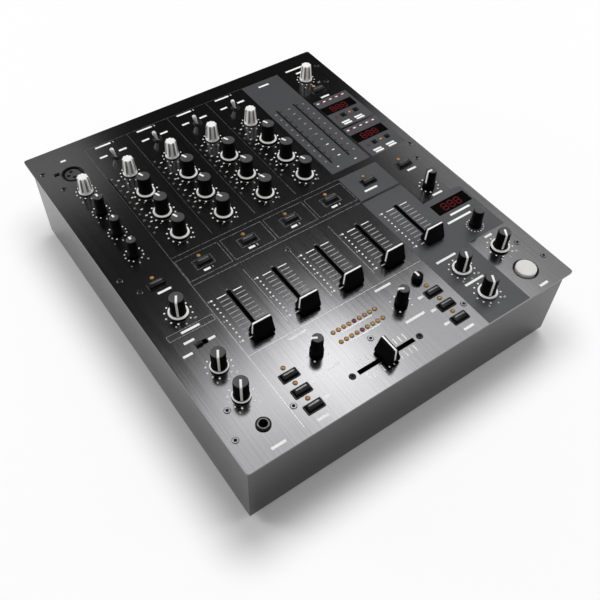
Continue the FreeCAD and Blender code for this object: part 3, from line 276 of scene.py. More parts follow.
def copy_on_spots(group, inputs, shape):
    """Ends a tree: the shape on every spot, turned and sized by the spot, made real and given its finish."""
    turn = add_node(group, "GeometryNodeInputNamedAttribute", {"Name": "turn"}, data_type="FLOAT")
    size = add_node(group, "GeometryNodeInputNamedAttribute", {"Name": "size"}, data_type="FLOAT_VECTOR")
    spin = add_node(group, "ShaderNodeCombineXYZ", {"Z": turn.outputs["Attribute"]})
    copies = add_node(group, "GeometryNodeInstanceOnPoints", {
        "Points": inputs["Spots"], "Instance": shape, "Rotation": spin.outputs["Vector"],
        "Scale": size.outputs["Attribute"]})
    real = add_node(group, "GeometryNodeRealizeInstances", {"Geometry": copies.outputs["Instances"]})
    done = add_node(group, "GeometryNodeSetMaterial", {"Geometry": real.outputs["Geometry"],
                                                       "Material": inputs["Finish"]})
    add_node(group, "NodeGroupOutput", {"Copies": done.outputs["Geometry"]})


def scatter(name, group, spots, made, stands_for=None, slot=None, **sizes):
    """Runs a tree on (place, turn, size) spots of the panel and keeps the result as one plain mesh."""
    points = bpy.data.meshes.new(name + "_spots")
    points.from_pydata([place for place, _, _ in spots], [], [])
    points.attributes.new("turn", "FLOAT", "POINT").data.foreach_set("value", [turn for _, turn, _ in spots])
    points.attributes.new("size", "FLOAT_VECTOR", "POINT").data.foreach_set(
        "vector", [length for _, _, size in spots for length in size])
    carrier = bpy.data.objects.new(name + "_spots", points)
    bpy.context.scene.collection.objects.link(carrier)
    copies = carrier.modifiers.new("copies", "NODES")
    copies.node_group = group
    values = {**sizes, "Finish": made}
    for socket in group.interface.items_tree:
        if socket.in_out == "INPUT" and socket.name in values:
            copies[socket.identifier] = values[socket.name]
    data = plain_mesh(carrier)
    data.transform(ON_PANEL)
    settle(name, data, "case", stands_for)


def plain_mesh(carrier):
    """The mesh that an object comes to, in place of the object."""
    depsgraph = bpy.context.evaluated_depsgraph_get()
    data = bpy.data.meshes.new_from_object(carrier.evaluated_get(depsgraph), depsgraph=depsgraph)
    bpy.data.objects.remove(carrier)
    return data


bar_group, bar_inputs = new_group("ink_bars", ["Film"])
bar_size = add_node(bar_group, "ShaderNodeCombineXYZ", {"X": 1.0, "Y": 1.0, "Z": bar_inputs["Film"]})
bar_shape = add_node(bar_group, "GeometryNodeMeshCube", {"Size": bar_size.outputs["Vector"]})
copy_on_spots(bar_group, bar_inputs, bar_shape.outputs["Mesh"])


def bar(x0, y0, x1, y1, width):
    """A bar of ink from one point to another."""
    run = Vector((x1 - x0, y1 - y0))
    middle = ((x0 + x1) / 2, (y0 + y1) / 2, WHITE_FILM / 2)
    return middle, math.atan2(run.y, run.x), (run.length, width, 1)


def dash(x0, x1, y, width):
    """A bar of ink from left to right."""
    return bar(x0, y, x1, y, width)


def frame_bars(x0, y0, x1, y1, width):
    """Four bars round a rectangle."""
    corners = box_loop(x0, y0, x1, y1)
    return [bar(*start, *end, width) for start, end in zip(corners, corners[1:] + corners[:1])]


white_ink = finish("white_ink", (0.94, 0.94, 0.92), 0.5, (1500, 0.04, 0.05, 0.000004))
pale_ink_and_painted_rim_light = finish("pale_ink_and_painted_rim_light", (0.3, 0.3, 0.306), 0.28, (1500, 0.05, 0.05, 0.000004), metallic=0.9)
tick_ink = finish("tick_ink", (0.34, 0.34, 0.35), 0.5, (1500, 0.05, 0.05, 0.000004))
black_ink = finish("black_ink", (0.004, 0.004, 0.004), 0.6, (1500, 0.1, 0.05, 0.000004), specular=0.1)
FINE, BROAD = 0.5, 2.2
PRINT_LEFT, DIVIDER_SHIFT, BOX_REACH = -107.6, 21.0, 20.2
SCALE_STEPS, SCALE_WIDTH = 11, 0.85
TICK_ROWS = [-48.1 - 4.6 * step for step in range(SCALE_STEPS)]
CROSSFADER, CROSSFADER_ROW, CROSSFADER_STEP = -21.65, -166.0, 4.5
METER_REACH, METER_ROWS = 10.1, [118 - 9.1 * step for step in range(10)]
LEVEL_ROWS = [121.6 - 8.75 * step for step in range(10)]
BEAT_LANES = (-126.2, -136.5)
LIGHT_STEP, LIGHT_RISE, TEMPO_LABELS = 7.6, 13.8, (122.4, 137.8)
KILL_COLUMNS, KILL_ROWS = (-91.95, 48.65), [-139.2 - 15.6 * step for step in range(3)]
TOGGLE_ROW, TITLE_ROW, CUE_LABEL_ROW = 148.0, 168.2, -17
pale_bars = [dash(PRINT_LEFT, AREA_LEFT, PRINT_REAR, FINE),
             bar(PRINT_LEFT, PRINT_REAR, PRINT_LEFT, -180, FINE)]
for column in CHANNELS[1:]:
    x = column - DIVIDER_SHIFT
    pale_bars += [bar(x, PRINT_REAR, x, 15, FINE), bar(x, -33, x, -97, FINE)]
pale_bars += [dash(PRINT_LEFT, AREA_LEFT, 9, FINE), dash(PRINT_LEFT, AREA_LEFT, -26, FINE),
              dash(-106.7, 62, -108, FINE), *frame_bars(-149.5, -64.4, -109.2, -58.7, FINE)]
for column in CHANNELS:
    pale_bars += frame_bars(column - BOX_REACH, -21.5, column + BOX_REACH, 4, FINE)
    # Painted highlight: a pale outline just outside each cue button's frame, where its rim catches the light.
    pale_bars += frame_bars(column - 8.6, CUE_ROW - 5.0, column + 8.6, CUE_ROW + 5.0, 0.4)
white_bars, tick_bars, black_bars = [], [], []
for column in FADER_COLUMNS:
    for y in TICK_ROWS:
        bars = white_bars if y in (TICK_ROWS[0], TICK_ROWS[-1]) else tick_bars
        bars += [dash(column - 11.5, column - 3.2, y, SCALE_WIDTH),
                 dash(column + 3.4, column + 11.7, y, SCALE_WIDTH)]
for step in range(SCALE_STEPS):
    x = CROSSFADER + CROSSFADER_STEP * (step - 5)
    for near, far in ((3.5, 9.5), (-9.5, -3.5)):
        white_bars.append(bar(x, CROSSFADER_ROW + near, x, CROSSFADER_ROW + far, 0.9))
for column in CHANNELS:
    black_bars.append(bar(column - BOX_REACH, 124, column - BOX_REACH, 32, 1.4))
    white_bars += [dash(column - 13.8, column - 6.3, TOGGLE_ROW + 5.5, BROAD),
                   dash(column + 5.5, column + 13.4, TOGGLE_ROW + 5.5, BROAD),
                   dash(column - 11.5, column + 4.2, TITLE_ROW, 2.1),
                   dash(column - 4.5, column + 1.5, CUE_LABEL_ROW, BROAD),
                   *(dash(column - 14.4, column - 12.2, y - 4.4, 1.0) for y in LEVEL_ROWS[:-1])]
for side, (near, far) in ((-1, (-7.0, -5.2)), (1, (5.4, 7.2))):
    x = MASTER + side * METER_REACH
    black_bars.append(bar(x - 2.3, 121.6, x - 2.3, 30, 1.9))
    white_bars.append(dash(x - 1.6, x + 0.6, 23, 1.3))
    for step, y in enumerate(METER_ROWS):
        tick_bars.append(dash(x + near, x + far, y - 1.5, 1.4))
        pale_bars.append(dash(x + 2.0, x + 2.0 - side * 6.0, y - 0.5, 0.4))
        if side < 0:
            (white_bars if step > 6 else tick_bars).append(dash(x + 8.6, x + 11.4, y - 0.6, 1.2))
white_bars += [dash(CROSSFADER - 15, CROSSFADER + 15, lane - 3.3, 0.9) for lane in BEAT_LANES]
for row in TEMPO_ROWS:
    for step in range(5):
        x = TEMPO + LIGHT_STEP * (step - 2)
        white_bars.append(dash(x - 1.3, x + 1.3, row + LIGHT_RISE, 1.5))
    for x in TEMPO_LABELS:
        white_bars += [dash(x - 5, x + 4.4, row - 22.6, BROAD), dash(x - 4.4, x + 5, row - 25.6, BROAD)]
# Label places: a short plain bar by each control, with its middle and its length
LABELS = [(MIC, 168.5, 5), (MIC + 2, -17.5, 12), (MIC, -61.5, 16), (MIC - 7, -71.5, 9), (MIC + 9, -78, 6),
          (MIC - 14, -82, 8), (MASTER - 4, -17.2, 14), (EFFECT + 2, -17.2, 10), (EFFECT, -55, 11),
          (EFFECT + 2, -82.4, 23), (124, -89, 27), (PARAMETER - 3, -118, 21), (PARAMETER, -149, 20),
          (EFFECT + 1, -118.8, 8), (EFFECT + 1, -183.4, 9), (EFFECT - 0.5, 169.2, 20),
          (EFFECT + 1.7, 161.4, 9), (EFFECT, 114.5, 10), (-66, -112.6, 16), (18, -112.6, 16),
          (-64, -150.5, 19), (20, -150.5, 19),
          (MIC, -181, 12), (-92, -181, 10), (48.6, -181, 10), (MASTER, 163, 12)]
white_bars += [dash(x - length / 2, x + length / 2, y, BROAD) for x, y, length in LABELS]
for x, sign in zip(KILL_COLUMNS, (1, -1)):
    white_bars += [dash(x + sign * 9.6, x + sign * 14.6, row + 1.5, 2.3) for row in KILL_ROWS]
pale_bars += [dash(column - 1, column + 1, -44.2, 0.6) for column in FADER_COLUMNS]
for name, bars, ink in (("printed_pale_lines", pale_bars, pale_ink_and_painted_rim_light), ("printed_ticks", tick_bars, tick_ink),
                        ("printed_white_bars", white_bars, white_ink),
                        ("printed_black_lines", black_bars, black_ink)):
    scatter(name, bar_group, bars, ink, slot="panel_metal", Film=WHITE_FILM)
borders = bmesh.new()
for x, y, length, width in [*((column, FADER_ROW, SLOT_WIDTH, SLOT_LENGTH) for column in FADER_COLUMNS),
                            (CROSSFADER, CROSSFADER_ROW, SLOT_LENGTH, SLOT_WIDTH)]:
    printed(borders, [window(x, y, length + 1.2, width + 1.2), window(x, y, length, width)], WHITE_FILM)
piece("printed_slot_borders", borders, [black_ink])

# Printed dots
# White dots make the scale round each knob and the row beside each fader.
# They are discs of the same white ink, in a ring that is open at the front,
# or closed round the knob that turns without end.
dot_group, dot_inputs = new_group("ink_dots", ["Film", "Sides"])
dot_shape = add_node(dot_group, "GeometryNodeMeshCylinder", {
    "Vertices": dot_inputs["Sides"], "Radius": 1.0, "Depth": dot_inputs["Film"]})
copy_on_spots(dot_group, dot_inputs, dot_shape.outputs["Mesh"])
knob_places = {joint["child"]: [1000 * value for value in joint["pos_m"]]
               for joint in frame["joints"] if joint["child"].endswith("_knob")}
RINGS = {"trim": (8.8, 0.65), "slim": (7.7, 0.65), "tone": (10.9, 0.85), "level": (10.9, 0.8),
         "send": (10.9, 0.75), "phones": (10.2, 0.75), "select": (8.6, 0.75), "value": (7.4, 0.6),
         "assign": (8.6, 0.75)}
RING_ANGLES = {"value": [22.5 * step for step in range(16)], "assign": range(-135, 136, 45)}
OPEN_RING = range(-150, 151, 30)
DOT_SHIFT, DOT_ROWS = 16.3, [-47.7 - 4.59 * step for step in range(SCALE_STEPS)]
END_DOT, MIDDLE_DOT = 1.0, 0.8


def knob_kind(name):
    """Which knob a body's name calls for."""
    if "trim" in name or name in ("mic_level_knob", "surround_knob"):
        return "trim"
    if name.startswith("mic_"):
        return "slim"
    if name.startswith("channel_"):
        return "tone"
    kinds = {"effect_select_knob": "select", "effect_value_knob": "value", "curve_knob": "curve",
             "assign_a_knob": "assign", "assign_b_knob": "assign", "effect_depth_knob": "send",
             "effect_parameter_knob": "send", "phones_mix_knob": "phones", "phones_level_knob": "phones"}
    return kinds.get(name, "level")


def disc(x, y, radius, height=WHITE_FILM / 2, turn=0.0, rise=1):
    """A spot for a round copy, such as a disc of ink."""
    return (x, y, height), turn, (radius, radius, rise)


dots = []
for name, (x, y, _) in knob_places.items():
    kind = knob_kind(name)
    if kind in RINGS:
        reach, radius = RINGS[kind]
        for angle in map(math.radians, RING_ANGLES.get(kind, OPEN_RING)):
            dots.append(disc(x + reach * math.sin(angle), y + reach * math.cos(angle), radius))
for column in FADER_COLUMNS:
    for y in DOT_ROWS:
        radius = END_DOT if y in (DOT_ROWS[0], DOT_ROWS[-1]) else MIDDLE_DOT
        dots.append(disc(column - DOT_SHIFT, y, radius))
scatter("printed_white_dots", dot_group, dots, white_ink, slot="panel_metal", Film=WHITE_FILM, Sides=10)

# Printed figures
# Plain figures number the channels and buttons and mark the ends of the
# scales. They are printed in the same white ink as the bars.
FIGURE_SHIFT = 18.6


def figure(mesh, text, x, y, height):
    """Sets a figure in ink, its middle at a place on the panel."""
    curve = bpy.data.curves.new("figure", "FONT")
    curve.body, curve.size, curve.extrude, curve.resolution_u = text, height * 1.4, WHITE_FILM / 2, 2
    curve.align_x, curve.align_y = "CENTER", "CENTER"
    holder = bpy.data.objects.new("figure", curve)
    bpy.context.scene.collection.objects.link(holder)
    data = plain_mesh(holder)
    data.transform(at(x, y, WHITE_FILM / 2))
    mesh.from_mesh(data)


figures = bmesh.new()
for number, column in enumerate(CHANNELS, start=1):
    figure(figures, str(number), column + 6.8, TITLE_ROW, 2.4)
    figure(figures, str(number), column + 4.0, CUE_LABEL_ROW, 2.2)
for name, (x, y, _) in knob_places.items():
    kind = knob_kind(name)
    if kind in ("tone", "slim"):
        figure(figures, "-", x - 7.6, y - 10.6, 2.6)
        figure(figures, "+", x + 7.6, y - 10.6, 2.6)
    elif kind in ("level", "send", "phones", "trim"):
        figure(figures, "0", x - 8.2, y - 11.2, 1.9)
        figure(figures, "10", x + 8.4, y - 11.2, 1.9)
    else:
        continue
    figure(figures, "0", x, y - 10.6 if kind in ("trim", "slim") else y - 12.8, 1.7)
for column in FADER_COLUMNS:
    for step in (0, 5, 10):
        figure(figures, str(10 - step), column - FIGURE_SHIFT, DOT_ROWS[step], 1.5)
piece("printed_figures", figures, [white_ink])

# Panel screws
# Screws with a hexagon socket hold the panel to the tub and the crossfader's
# bracket to the panel, just proud of the face. The panel's are plated steel and
# the bracket's are blackened. A black disc under each panel screw, showing as a
# ring round its head, and a black disc down in each socket are painted shade of
# the recesses.
SCREW_SPOTS = [(side * 152.6, y) for side in (-1, 1) for y in (161.4, 11.0, -161.5)]
SCREW_SPOTS += [(side * 144.8, y) for side in (-1, 1) for y in (134.0, -8.3, -138.4)]
SCREW_SPOTS += [(-104.0, -161.8), (60.8, -161.9), (-21.8, -36.6), (-21.6, -146.6)]
BRACKET_SPOTS = [(CROSSFADER + side * 32.5, CROSSFADER_ROW) for side in (-1, 1)]
HEAD_RADIUS, SHADE_RING_RADIUS, SOCKET_SHADE_RADIUS = 2.6, 2.75, 1.2
BRACKET_RADIUS, BRACKET_SOCKET_SHADE, BRACKET_RISE = 2.9, 1.1, 1.6
SCREW_RISE, SCREW_TURN, BRACKET_TURN = 0.5, 0.3, 0.4
screw_group, screw_inputs = new_group("socket_screws", ["Rise", "Socket"])
head = add_node(screw_group, "GeometryNodeMeshCone", {
    "Vertices": 28, "Radius Top": 0.84, "Radius Bottom": 1.0, "Depth": screw_inputs["Rise"]})
socket = add_node(screw_group, "GeometryNodeMeshCylinder", {
    "Vertices": 6, "Radius": screw_inputs["Socket"], "Depth": screw_inputs["Rise"]})
lift = add_node(screw_group, "ShaderNodeCombineXYZ", {"Z": 0.45})
high = add_node(screw_group, "GeometryNodeTransform", {"Geometry": socket.outputs["Mesh"],
                                                       "Translation": lift.outputs["Vector"]})
sunk = add_node(screw_group, "GeometryNodeMeshBoolean", {
    0: head.outputs["Mesh"], 1: high.outputs["Geometry"]}, operation="DIFFERENCE")
copy_on_spots(screw_group, screw_inputs, sunk.outputs["Mesh"])
screw_black = finish("screw_black", (0.012, 0.012, 0.0125), 0.45, (1200, 0.15, 0.08, 0.00001), specular=0.25)
panel_heads = [disc(x, y, HEAD_RADIUS, 0, SCREW_TURN * x) for x, y in SCREW_SPOTS]
bracket_heads = [disc(x, y, BRACKET_RADIUS, 0, BRACKET_TURN, BRACKET_RISE) for x, y in BRACKET_SPOTS]
# Painted shade: black discs round the heads and down in the sockets, where the recesses fall dark.
screw_shade_discs = [disc(x, y, SHADE_RING_RADIUS, 0.03) for x, y in SCREW_SPOTS]
screw_shade_discs += [disc(x, y, SOCKET_SHADE_RADIUS, 0.24, SCREW_TURN * x) for x, y in SCREW_SPOTS]
screw_shade_discs += [disc(x, y, BRACKET_SOCKET_SHADE, 0.37, BRACKET_TURN) for x, y in BRACKET_SPOTS]
scatter("panel_screws", screw_group, panel_heads, screw_steel, Rise=SCREW_RISE, Socket=0.56)
scatter("screw_painted_shade", dot_group, screw_shade_discs, black_ink, slot="panel_metal", Film=0.06, Sides=18)
scatter("bracket_screws", screw_group, bracket_heads, screw_black, Rise=SCREW_RISE, Socket=0.46)

# Button frames
# Each push button stands in a thin black moulded frame that clips into a
# window of the panel. A round guide under the panel holds the large button.
BUTTONS = {"cue_buttons": [(x, CUE_ROW) for x in (MIC, *FADER_COLUMNS, EFFECT)],
           "kill_buttons_a": [(KILL_COLUMNS[0], row) for row in KILL_ROWS],
           "kill_buttons_b": [(KILL_COLUMNS[1], row) for row in KILL_ROWS],
           "surround_button": [(EFFECT, 126.0)]}
ALL_BUTTONS = [spot for spots in BUTTONS.values() for spot in spots]
EFFECT_BUTTON = (EFFECT, -164.0)
CORNER_STEPS = 4
MOULDED = (900, 0.15, 0.06, 0.00001)


def rounded(half_x, half_y, corner):
    """Points round a rectangle with rounded corners."""
    points = []
    for turn, (across, along) in enumerate(((1, 1), (-1, 1), (-1, -1), (1, -1))):
        for step in range(CORNER_STEPS + 1):
            angle = math.radians(90 * turn + 90 * step / CORNER_STEPS)
            points.append((across * (half_x - corner) + corner * math.cos(angle),
                           along * (half_y - corner) + corner * math.sin(angle)))
    return points


def stacked(mesh, levels, place, ring=False):
    """Joins rounded rectangles (half length, half width, corner, height) into a solid or a
    ring. A fifth number picks a finish other than the first."""
    loops = [[mesh.verts.new(place @ Vector((x, y, level[3]))) for x, y in rounded(*level[:3])]
             for level in levels]
    numbers = [(*level, 0)[4] for level in levels]
    for low, high, number in zip(loops, loops[1:], numbers[1:]):
        skin(mesh, low, high, number)
    if ring:
        skin(mesh, loops[-1], loops[0], numbers[0])
    else:
        mesh.faces.new(loops[0]).material_index = numbers[0]
        mesh.faces.new(loops[-1]).material_index = numbers[-1]


def band(mesh, inner, outer, low, high, steps, place, number=0):
    """A flat ring."""
    turned(mesh, [(inner, low, number), (outer, low, number), (outer, high, number), (inner, high, number),
                  (inner, low, number)], steps, place)


bezel_plastic = finish("bezel_plastic", (0.006, 0.006, 0.0065), 0.3, MOULDED, specular=0.3)
bezels_and_shade_ring = bmesh.new()
for x, y in ALL_BUTTONS:
    stacked(bezels_and_shade_ring, [(7.45, 4.05, 0.6, -4), (7.45, 4.05, 0.6, 0), (7.85, 4.25, 1.0, 0),
                     (7.85, 4.25, 1.0, 0.45), (7.6, 4.0, 0.9, 0.8), (7.0, 3.6, 0.6, 0.8),
                     (6.7, 3.3, 0.5, 0.5), (6.7, 3.3, 0.5, -4)], at(x, y), ring=True)
# Painted shade: a flat black ring on the panel round the effect button's hole, which widens the dark gap
# round the cap.
band(bezels_and_shade_ring, 10.25, 11.0, 0.02, 0.12, 48, at(*EFFECT_BUTTON))
band(bezels_and_shade_ring, 9.9, 12.2, -8, -2, 40, at(*EFFECT_BUTTON))
bmesh.ops.remove_doubles(bezels_and_shade_ring, verts=bezels_and_shade_ring.verts, dist=0.001)
piece("button_frames_and_shade_ring", bezels_and_shade_ring, [bezel_plastic], stands_for="button_bezels")

# Push buttons
# The caps are black moulded plastic with rounded edges and a raised, glossy
# dark lozenge on top. Each bank slides down together in its frames.
button_black = finish("button_black", (0.004, 0.004, 0.0042), 0.35, MOULDED, specular=0.2)
button_grey = finish("button_grey", (0.035, 0.035, 0.036), 0.24, (1100, 0.1, 0.06, 0.00001), specular=1.0)
for bank, spots in BUTTONS.items():
    caps = bmesh.new()
    for x, y in spots:
        stacked(caps, [(1.5, 1.5, 0.3, -5.6), (1.5, 1.5, 0.3, -3), (6.3, 2.9, 0.5, -3), (6.3, 2.9, 0.5, 2.3),
                       (6.1, 2.7, 0.6, 2.8), (5.75, 2.35, 0.6, 3.0)], at(x, y))
        stacked(caps, [(5.3, 1.35, 0.8, 2.9, 1), (5.2, 1.25, 0.8, 3.25, 1), (4.9, 0.95, 0.7, 3.45, 1),
                       (4.4, 0.5, 0.4, 3.5, 1)], at(x, y + 0.85))
    piece(bank + "_caps", caps, [button_black, button_grey], body=bank)

# Large and small round buttons
# The effect button is an off-white disc with a softened rim, set in a hole of
# the panel. The tempo buttons are small black studs under their displays.
effect_white = finish("effect_white", (0.74, 0.73, 0.7), 0.4, (800, 0.02, 0.06, 0.00001))
large = bmesh.new()
turned(large, [(0, -8), (1.5, -8), (1.5, -6), (8.8, -6), (8.9, 1.3), (8.75, 1.8), (8.3, 2.1), (7.1, 2.2),
               (4.0, 2.14), (0, 2.1)], 64, at(*EFFECT_BUTTON))
piece("effect_button_cap", large, [effect_white], body="effect_button")
TEMPO_BUTTONS = [spot for row in TEMPO_ROWS for spot in tempo_pair(row)]
studs = bmesh.new()
for x, y in TEMPO_BUTTONS:
    turned(studs, [(0, -5.6), (1.4, -5.6), (2.3, -5), (2.35, 0.7), (2.2, 1.0), (1.9, 1.2), (0, 1.15)], 28,
           at(x, y))
piece("tempo_button_studs", studs, [button_black], body="tempo_buttons")

# Indicator lights
# The lights are small clear-coloured resin domes, each in a dark collar, and
# flat square lenses in the level columns. All of them are unlit.
RESIN = (600, 0.25, 0.04, 0.00001)
DOME_RADIUS, DOME_RISE, COLLAR_RADIUS, COLLAR_HEIGHT = 1.55, 0.75, 2.05, 0.2
BUTTON_SHIFT, BEAT_STEP, LEVEL_SHIFT = 8.1, 5.1, 17.6
lens_group, lens_inputs = new_group("lens_domes", ["Segments"])
globe = add_node(lens_group, "GeometryNodeMeshUVSphere", {
    "Segments": lens_inputs["Segments"], "Rings": 8, "Radius": 1.0})
spot = add_node(lens_group, "GeometryNodeInputPosition", {})
parts = add_node(lens_group, "ShaderNodeSeparateXYZ", {"Vector": spot.outputs["Position"]}).outputs
above = add_node(lens_group, "ShaderNodeMath", {0: parts["Z"], 1: 0.0}, operation="MAXIMUM")
seat = add_node(lens_group, "ShaderNodeCombineXYZ", {
    "X": parts["X"], "Y": parts["Y"], "Z": above.outputs["Value"]})
dome = add_node(lens_group, "GeometryNodeSetPosition", {"Geometry": globe.outputs["Mesh"],
                                                        "Position": seat.outputs["Vector"]})
copy_on_spots(lens_group, lens_inputs, dome.outputs["Geometry"])
tile_group, tile_inputs = new_group("lens_tiles", ["Size", "Rise"])
tile = add_node(tile_group, "GeometryNodeMeshCone", {
    "Vertices": 4, "Radius Top": 0.6, "Radius Bottom": tile_inputs["Size"], "Depth": tile_inputs["Rise"]})
copy_on_spots(tile_group, tile_inputs, tile.outputs["Mesh"])
lens_amber = finish("lens_amber", (0.52, 0.24, 0.045), 0.2, RESIN, coat=0.3)
lens_red = finish("lens_red", (0.2, 0.01, 0.025), 0.2, RESIN, coat=0.3)
lens_brown = finish("lens_brown", (0.12, 0.09, 0.078), 0.25, RESIN, coat=0.4)
lens_dark = finish("lens_dark", (0.016, 0.01, 0.01), 0.3, RESIN)
collar_black = finish("collar_black", (0.02, 0.016, 0.012), 0.4, (900, 0.15, 0.05, 0.00001))
amber_spots, red_spots = [(x, y + BUTTON_SHIFT) for x, y in ALL_BUTTONS], []
for lane in BEAT_LANES:
    for step in range(-4, 5):
        (amber_spots if step else red_spots).append((CROSSFADER + BEAT_STEP * step, lane))
for x, y in TEMPO_BUTTONS:
    (red_spots if x < TEMPO else amber_spots).append((x - TEMPO_STEP, y))
for label, spots, lens in (("amber", amber_spots, lens_amber), ("red", red_spots, lens_red)):
    domes = [disc(x, y, DOME_RADIUS, COLLAR_HEIGHT / 2, rise=DOME_RISE) for x, y in spots]
    scatter(f"round_lights_{label}", lens_group, domes, lens, stands_for="indicator_leds", slot="lens_amber",
            Segments=14)
collars = [disc(x, y, COLLAR_RADIUS, COLLAR_HEIGHT / 2) for x, y in amber_spots + red_spots]
scatter("light_collars", dot_group, collars, collar_black, slot="bezel_plastic", Film=COLLAR_HEIGHT, Sides=14)
level_spots = [(column - LEVEL_SHIFT, y) for column in CHANNELS for y in LEVEL_ROWS]
meter_spots = [(MASTER + side * METER_REACH, y) for side in (-1, 1) for y in METER_ROWS]
tempo_spots = [(TEMPO + LIGHT_STEP * (step - 1.5), row + LIGHT_RISE)
               for row in TEMPO_ROWS for step in range(4)]
for name, spots, size, lens in (("level_lights", level_spots, (2, 2, 1), lens_brown),
                                ("meter_lights", meter_spots, (2.5, 2, 1), lens_dark),
                                ("tempo_lights", tempo_spots, (2.5, 2.2, 1), lens_red)):
    scatter(name, tile_group, [((x, y, 0), math.pi / 4, size) for x, y in spots], lens, slot="lens_amber",
            Size=0.707, Rise=0.3)

# Displays
# Each display is a black module behind a dark red filter window, sunk a
# little in the panel. Unlit seven-segment figures show dimly through it.
DISPLAYS = [(TEMPO, row, 18.8, 6.2) for row in TEMPO_ROWS] + [(TEMPO, DISPLAY_ROW, 19.5, 6.75)]
STROKE, STROKE_HEIGHT = 1.1, -0.38
display_window = finish("display_window", (0.0016, 0.001, 0.001), 0.55, (300, 0.3, 0.03, 0.000005),
                        specular=0.02)
segment_red = finish("segment_red", (0.11, 0.004, 0.006), 0.5, (400, 0.3, 0.05, 0.000005), specular=0.1)
modules = bmesh.new()
for x, y, half_x, half_y in DISPLAYS:
    stacked(modules, [(half_x - inset, half_y - inset, 0.3, height)
                      for inset, height in ((0.2, -15), (0.2, -0.3), (0.5, -0.2), (0.9, -0.4))], at(x, y))
piece("display_modules_glazed", modules, [display_window], stands_for="display_modules")
segments = []
for x, y, _, half_y in DISPLAYS:
    tall, wide = half_y * 0.56, half_y * 0.6
    for place in (-1, 0, 1):
        middle = x + place * half_y * 1.12
        for lift in (-1, 0, 1):
            segments.append(((middle, y + lift * tall, STROKE_HEIGHT), 0.0, (wide, STROKE, 1)))
        for side in (-1, 1):
            upright = middle + side * (wide / 2 + 0.45)
            for lift in (-0.5, 0.5):
                segments.append(((upright, y + lift * tall, STROKE_HEIGHT), math.pi / 2,
                                 (tall - STROKE, STROKE, 1)))
scatter("display_segments", bar_group, segments, segment_red, slot="display_window", Film=0.06)

# Toggles
# Each channel's source toggle is a chromed bat lever in a threaded bush, held
# by a black hexagon nut on the panel. The lever leans to the left at rest.
# Painted reflection: the chrome lever gets a pale, mostly diffuse colour, which stands in for the lamps it
# would mirror.
lever_chrome = finish("lever_chrome", (0.85, 0.85, 0.86), 0.36, (500, 0.05, 0.05, 0.000004), metallic=0.3)
TOGGLE_PIVOT, TOGGLE_LEAN = -2.0, 15


def swing(degrees, axis):
    """A turn about one axis."""
    return Matrix.Rotation(math.radians(degrees), 4, axis)


nuts = bmesh.new()
for column in CHANNELS:
    turned(nuts, [(3.85, 0), (5.2, 0), (5.2, 0.35), (4.6, 0.4), (4.5, 1.0), (4.2, 1.2), (3.85, 1.2),
                  (3.85, 0)], 6, at(column, TOGGLE_ROW))
    turned(nuts, [(2.6, 0.6), (3.9, 0.6), (3.9, 1.4), (3.7, 1.65), (2.9, 1.65), (2.6, 1.4), (2.6, 0.6)], 32,
           at(column, TOGGLE_ROW))
bmesh.ops.remove_doubles(nuts, verts=nuts.verts, dist=0.001)
piece("toggle_nuts", nuts, [screw_black])
for number, column in enumerate(CHANNELS, start=1):
    bat = bmesh.new()
    turned(bat, [(0, -2.2), (1.4, -1.7), (2.1, -0.6), (2.2, 0), (1.9, 1.0), (1.1, 2.0), (1.1, 4.8),
                 (1.25, 5.6), (1.75, 9.5), (1.9, 11.2), (1.8, 12.1), (1.4, 12.75), (0.8, 12.95), (0, 13)], 28,
           at(column, TOGGLE_ROW, TOGGLE_PIVOT) @ swing(-TOGGLE_LEAN, "Y"))
    piece(f"channel_{number}_toggle_bat", bat, [lever_chrome], body=f"channel_{number}_toggle")

# Phones mode switch
# A small black slider with a ribbed top moves sideways in a slot of the
# panel, above the switch body on the board.
switch_black = finish("switch_black", (0.01, 0.01, 0.011), 0.42, MOULDED, specular=0.4)
MODE, MODE_ROW = MIC - 2.0, -78.0
slider = bmesh.new()
stacked(slider, [(2.5, 1.8, 0.2, -4.7), (2.5, 1.8, 0.2, 1.9), (2.3, 1.6, 0.3, 2.1)], at(MODE, MODE_ROW))
for step in range(4):
    stacked(slider, [(0.42, 1.7, 0.1, 2.0), (0.36, 1.6, 0.1, 2.85), (0.2, 1.5, 0.1, 3.0)],
            at(MODE - 1.8 + 1.2 * step, MODE_ROW))
piece("phones_mode_slider", slider, [switch_black], body="phones_mode_switch")

# Sockets on the panel
# The microphone socket is a black moulded shell with a three-hole insert and
# a release tab. The phones jack has a black nut round a grey bush.
socket_black = finish("socket_black", (0.005, 0.005, 0.0055), 0.42, MOULDED, specular=0.15)
insert_grey = finish("insert_grey", (0.06, 0.06, 0.062), 0.5, (900, 0.1, 0.06, 0.00001))
bush_steel = finish("bush_steel", (0.09, 0.09, 0.092), 0.32, (900, 0.08, 0.06, 0.00001), metallic=1.0)
INPUT_ROW, JACK_ROW, INSERT, BUSH = 148.0, -162.0, 1, 2
panel_sockets = bmesh.new()
turned(panel_sockets, [(0, -20), (10, -20), (10, 0.2), (9.7, 0.5), (8.7, 0.5), (8.4, 0.2), (8.4, -10),
                       (7.4, -10), (7.4, -0.9, INSERT), (7.1, -0.6, INSERT), (0, -0.6, INSERT)], 56,
       at(MIC, INPUT_ROW))
for angle in map(math.radians, (90, 180, 270)):
    turned(panel_sockets, [(0, -0.9), (1.5, -0.9), (1.7, -0.5), (1.6, -0.45), (0, -0.55)], 20,
           at(MIC + 4 * math.cos(angle), INPUT_ROW + 4 * math.sin(angle)))
stacked(panel_sockets, [(2.6, 1.5, 0.4, -0.6), (2.6, 1.5, 0.4, 0.5), (2.2, 1.1, 0.4, 0.9)],
        at(MIC - 12.4, INPUT_ROW + 6.5))
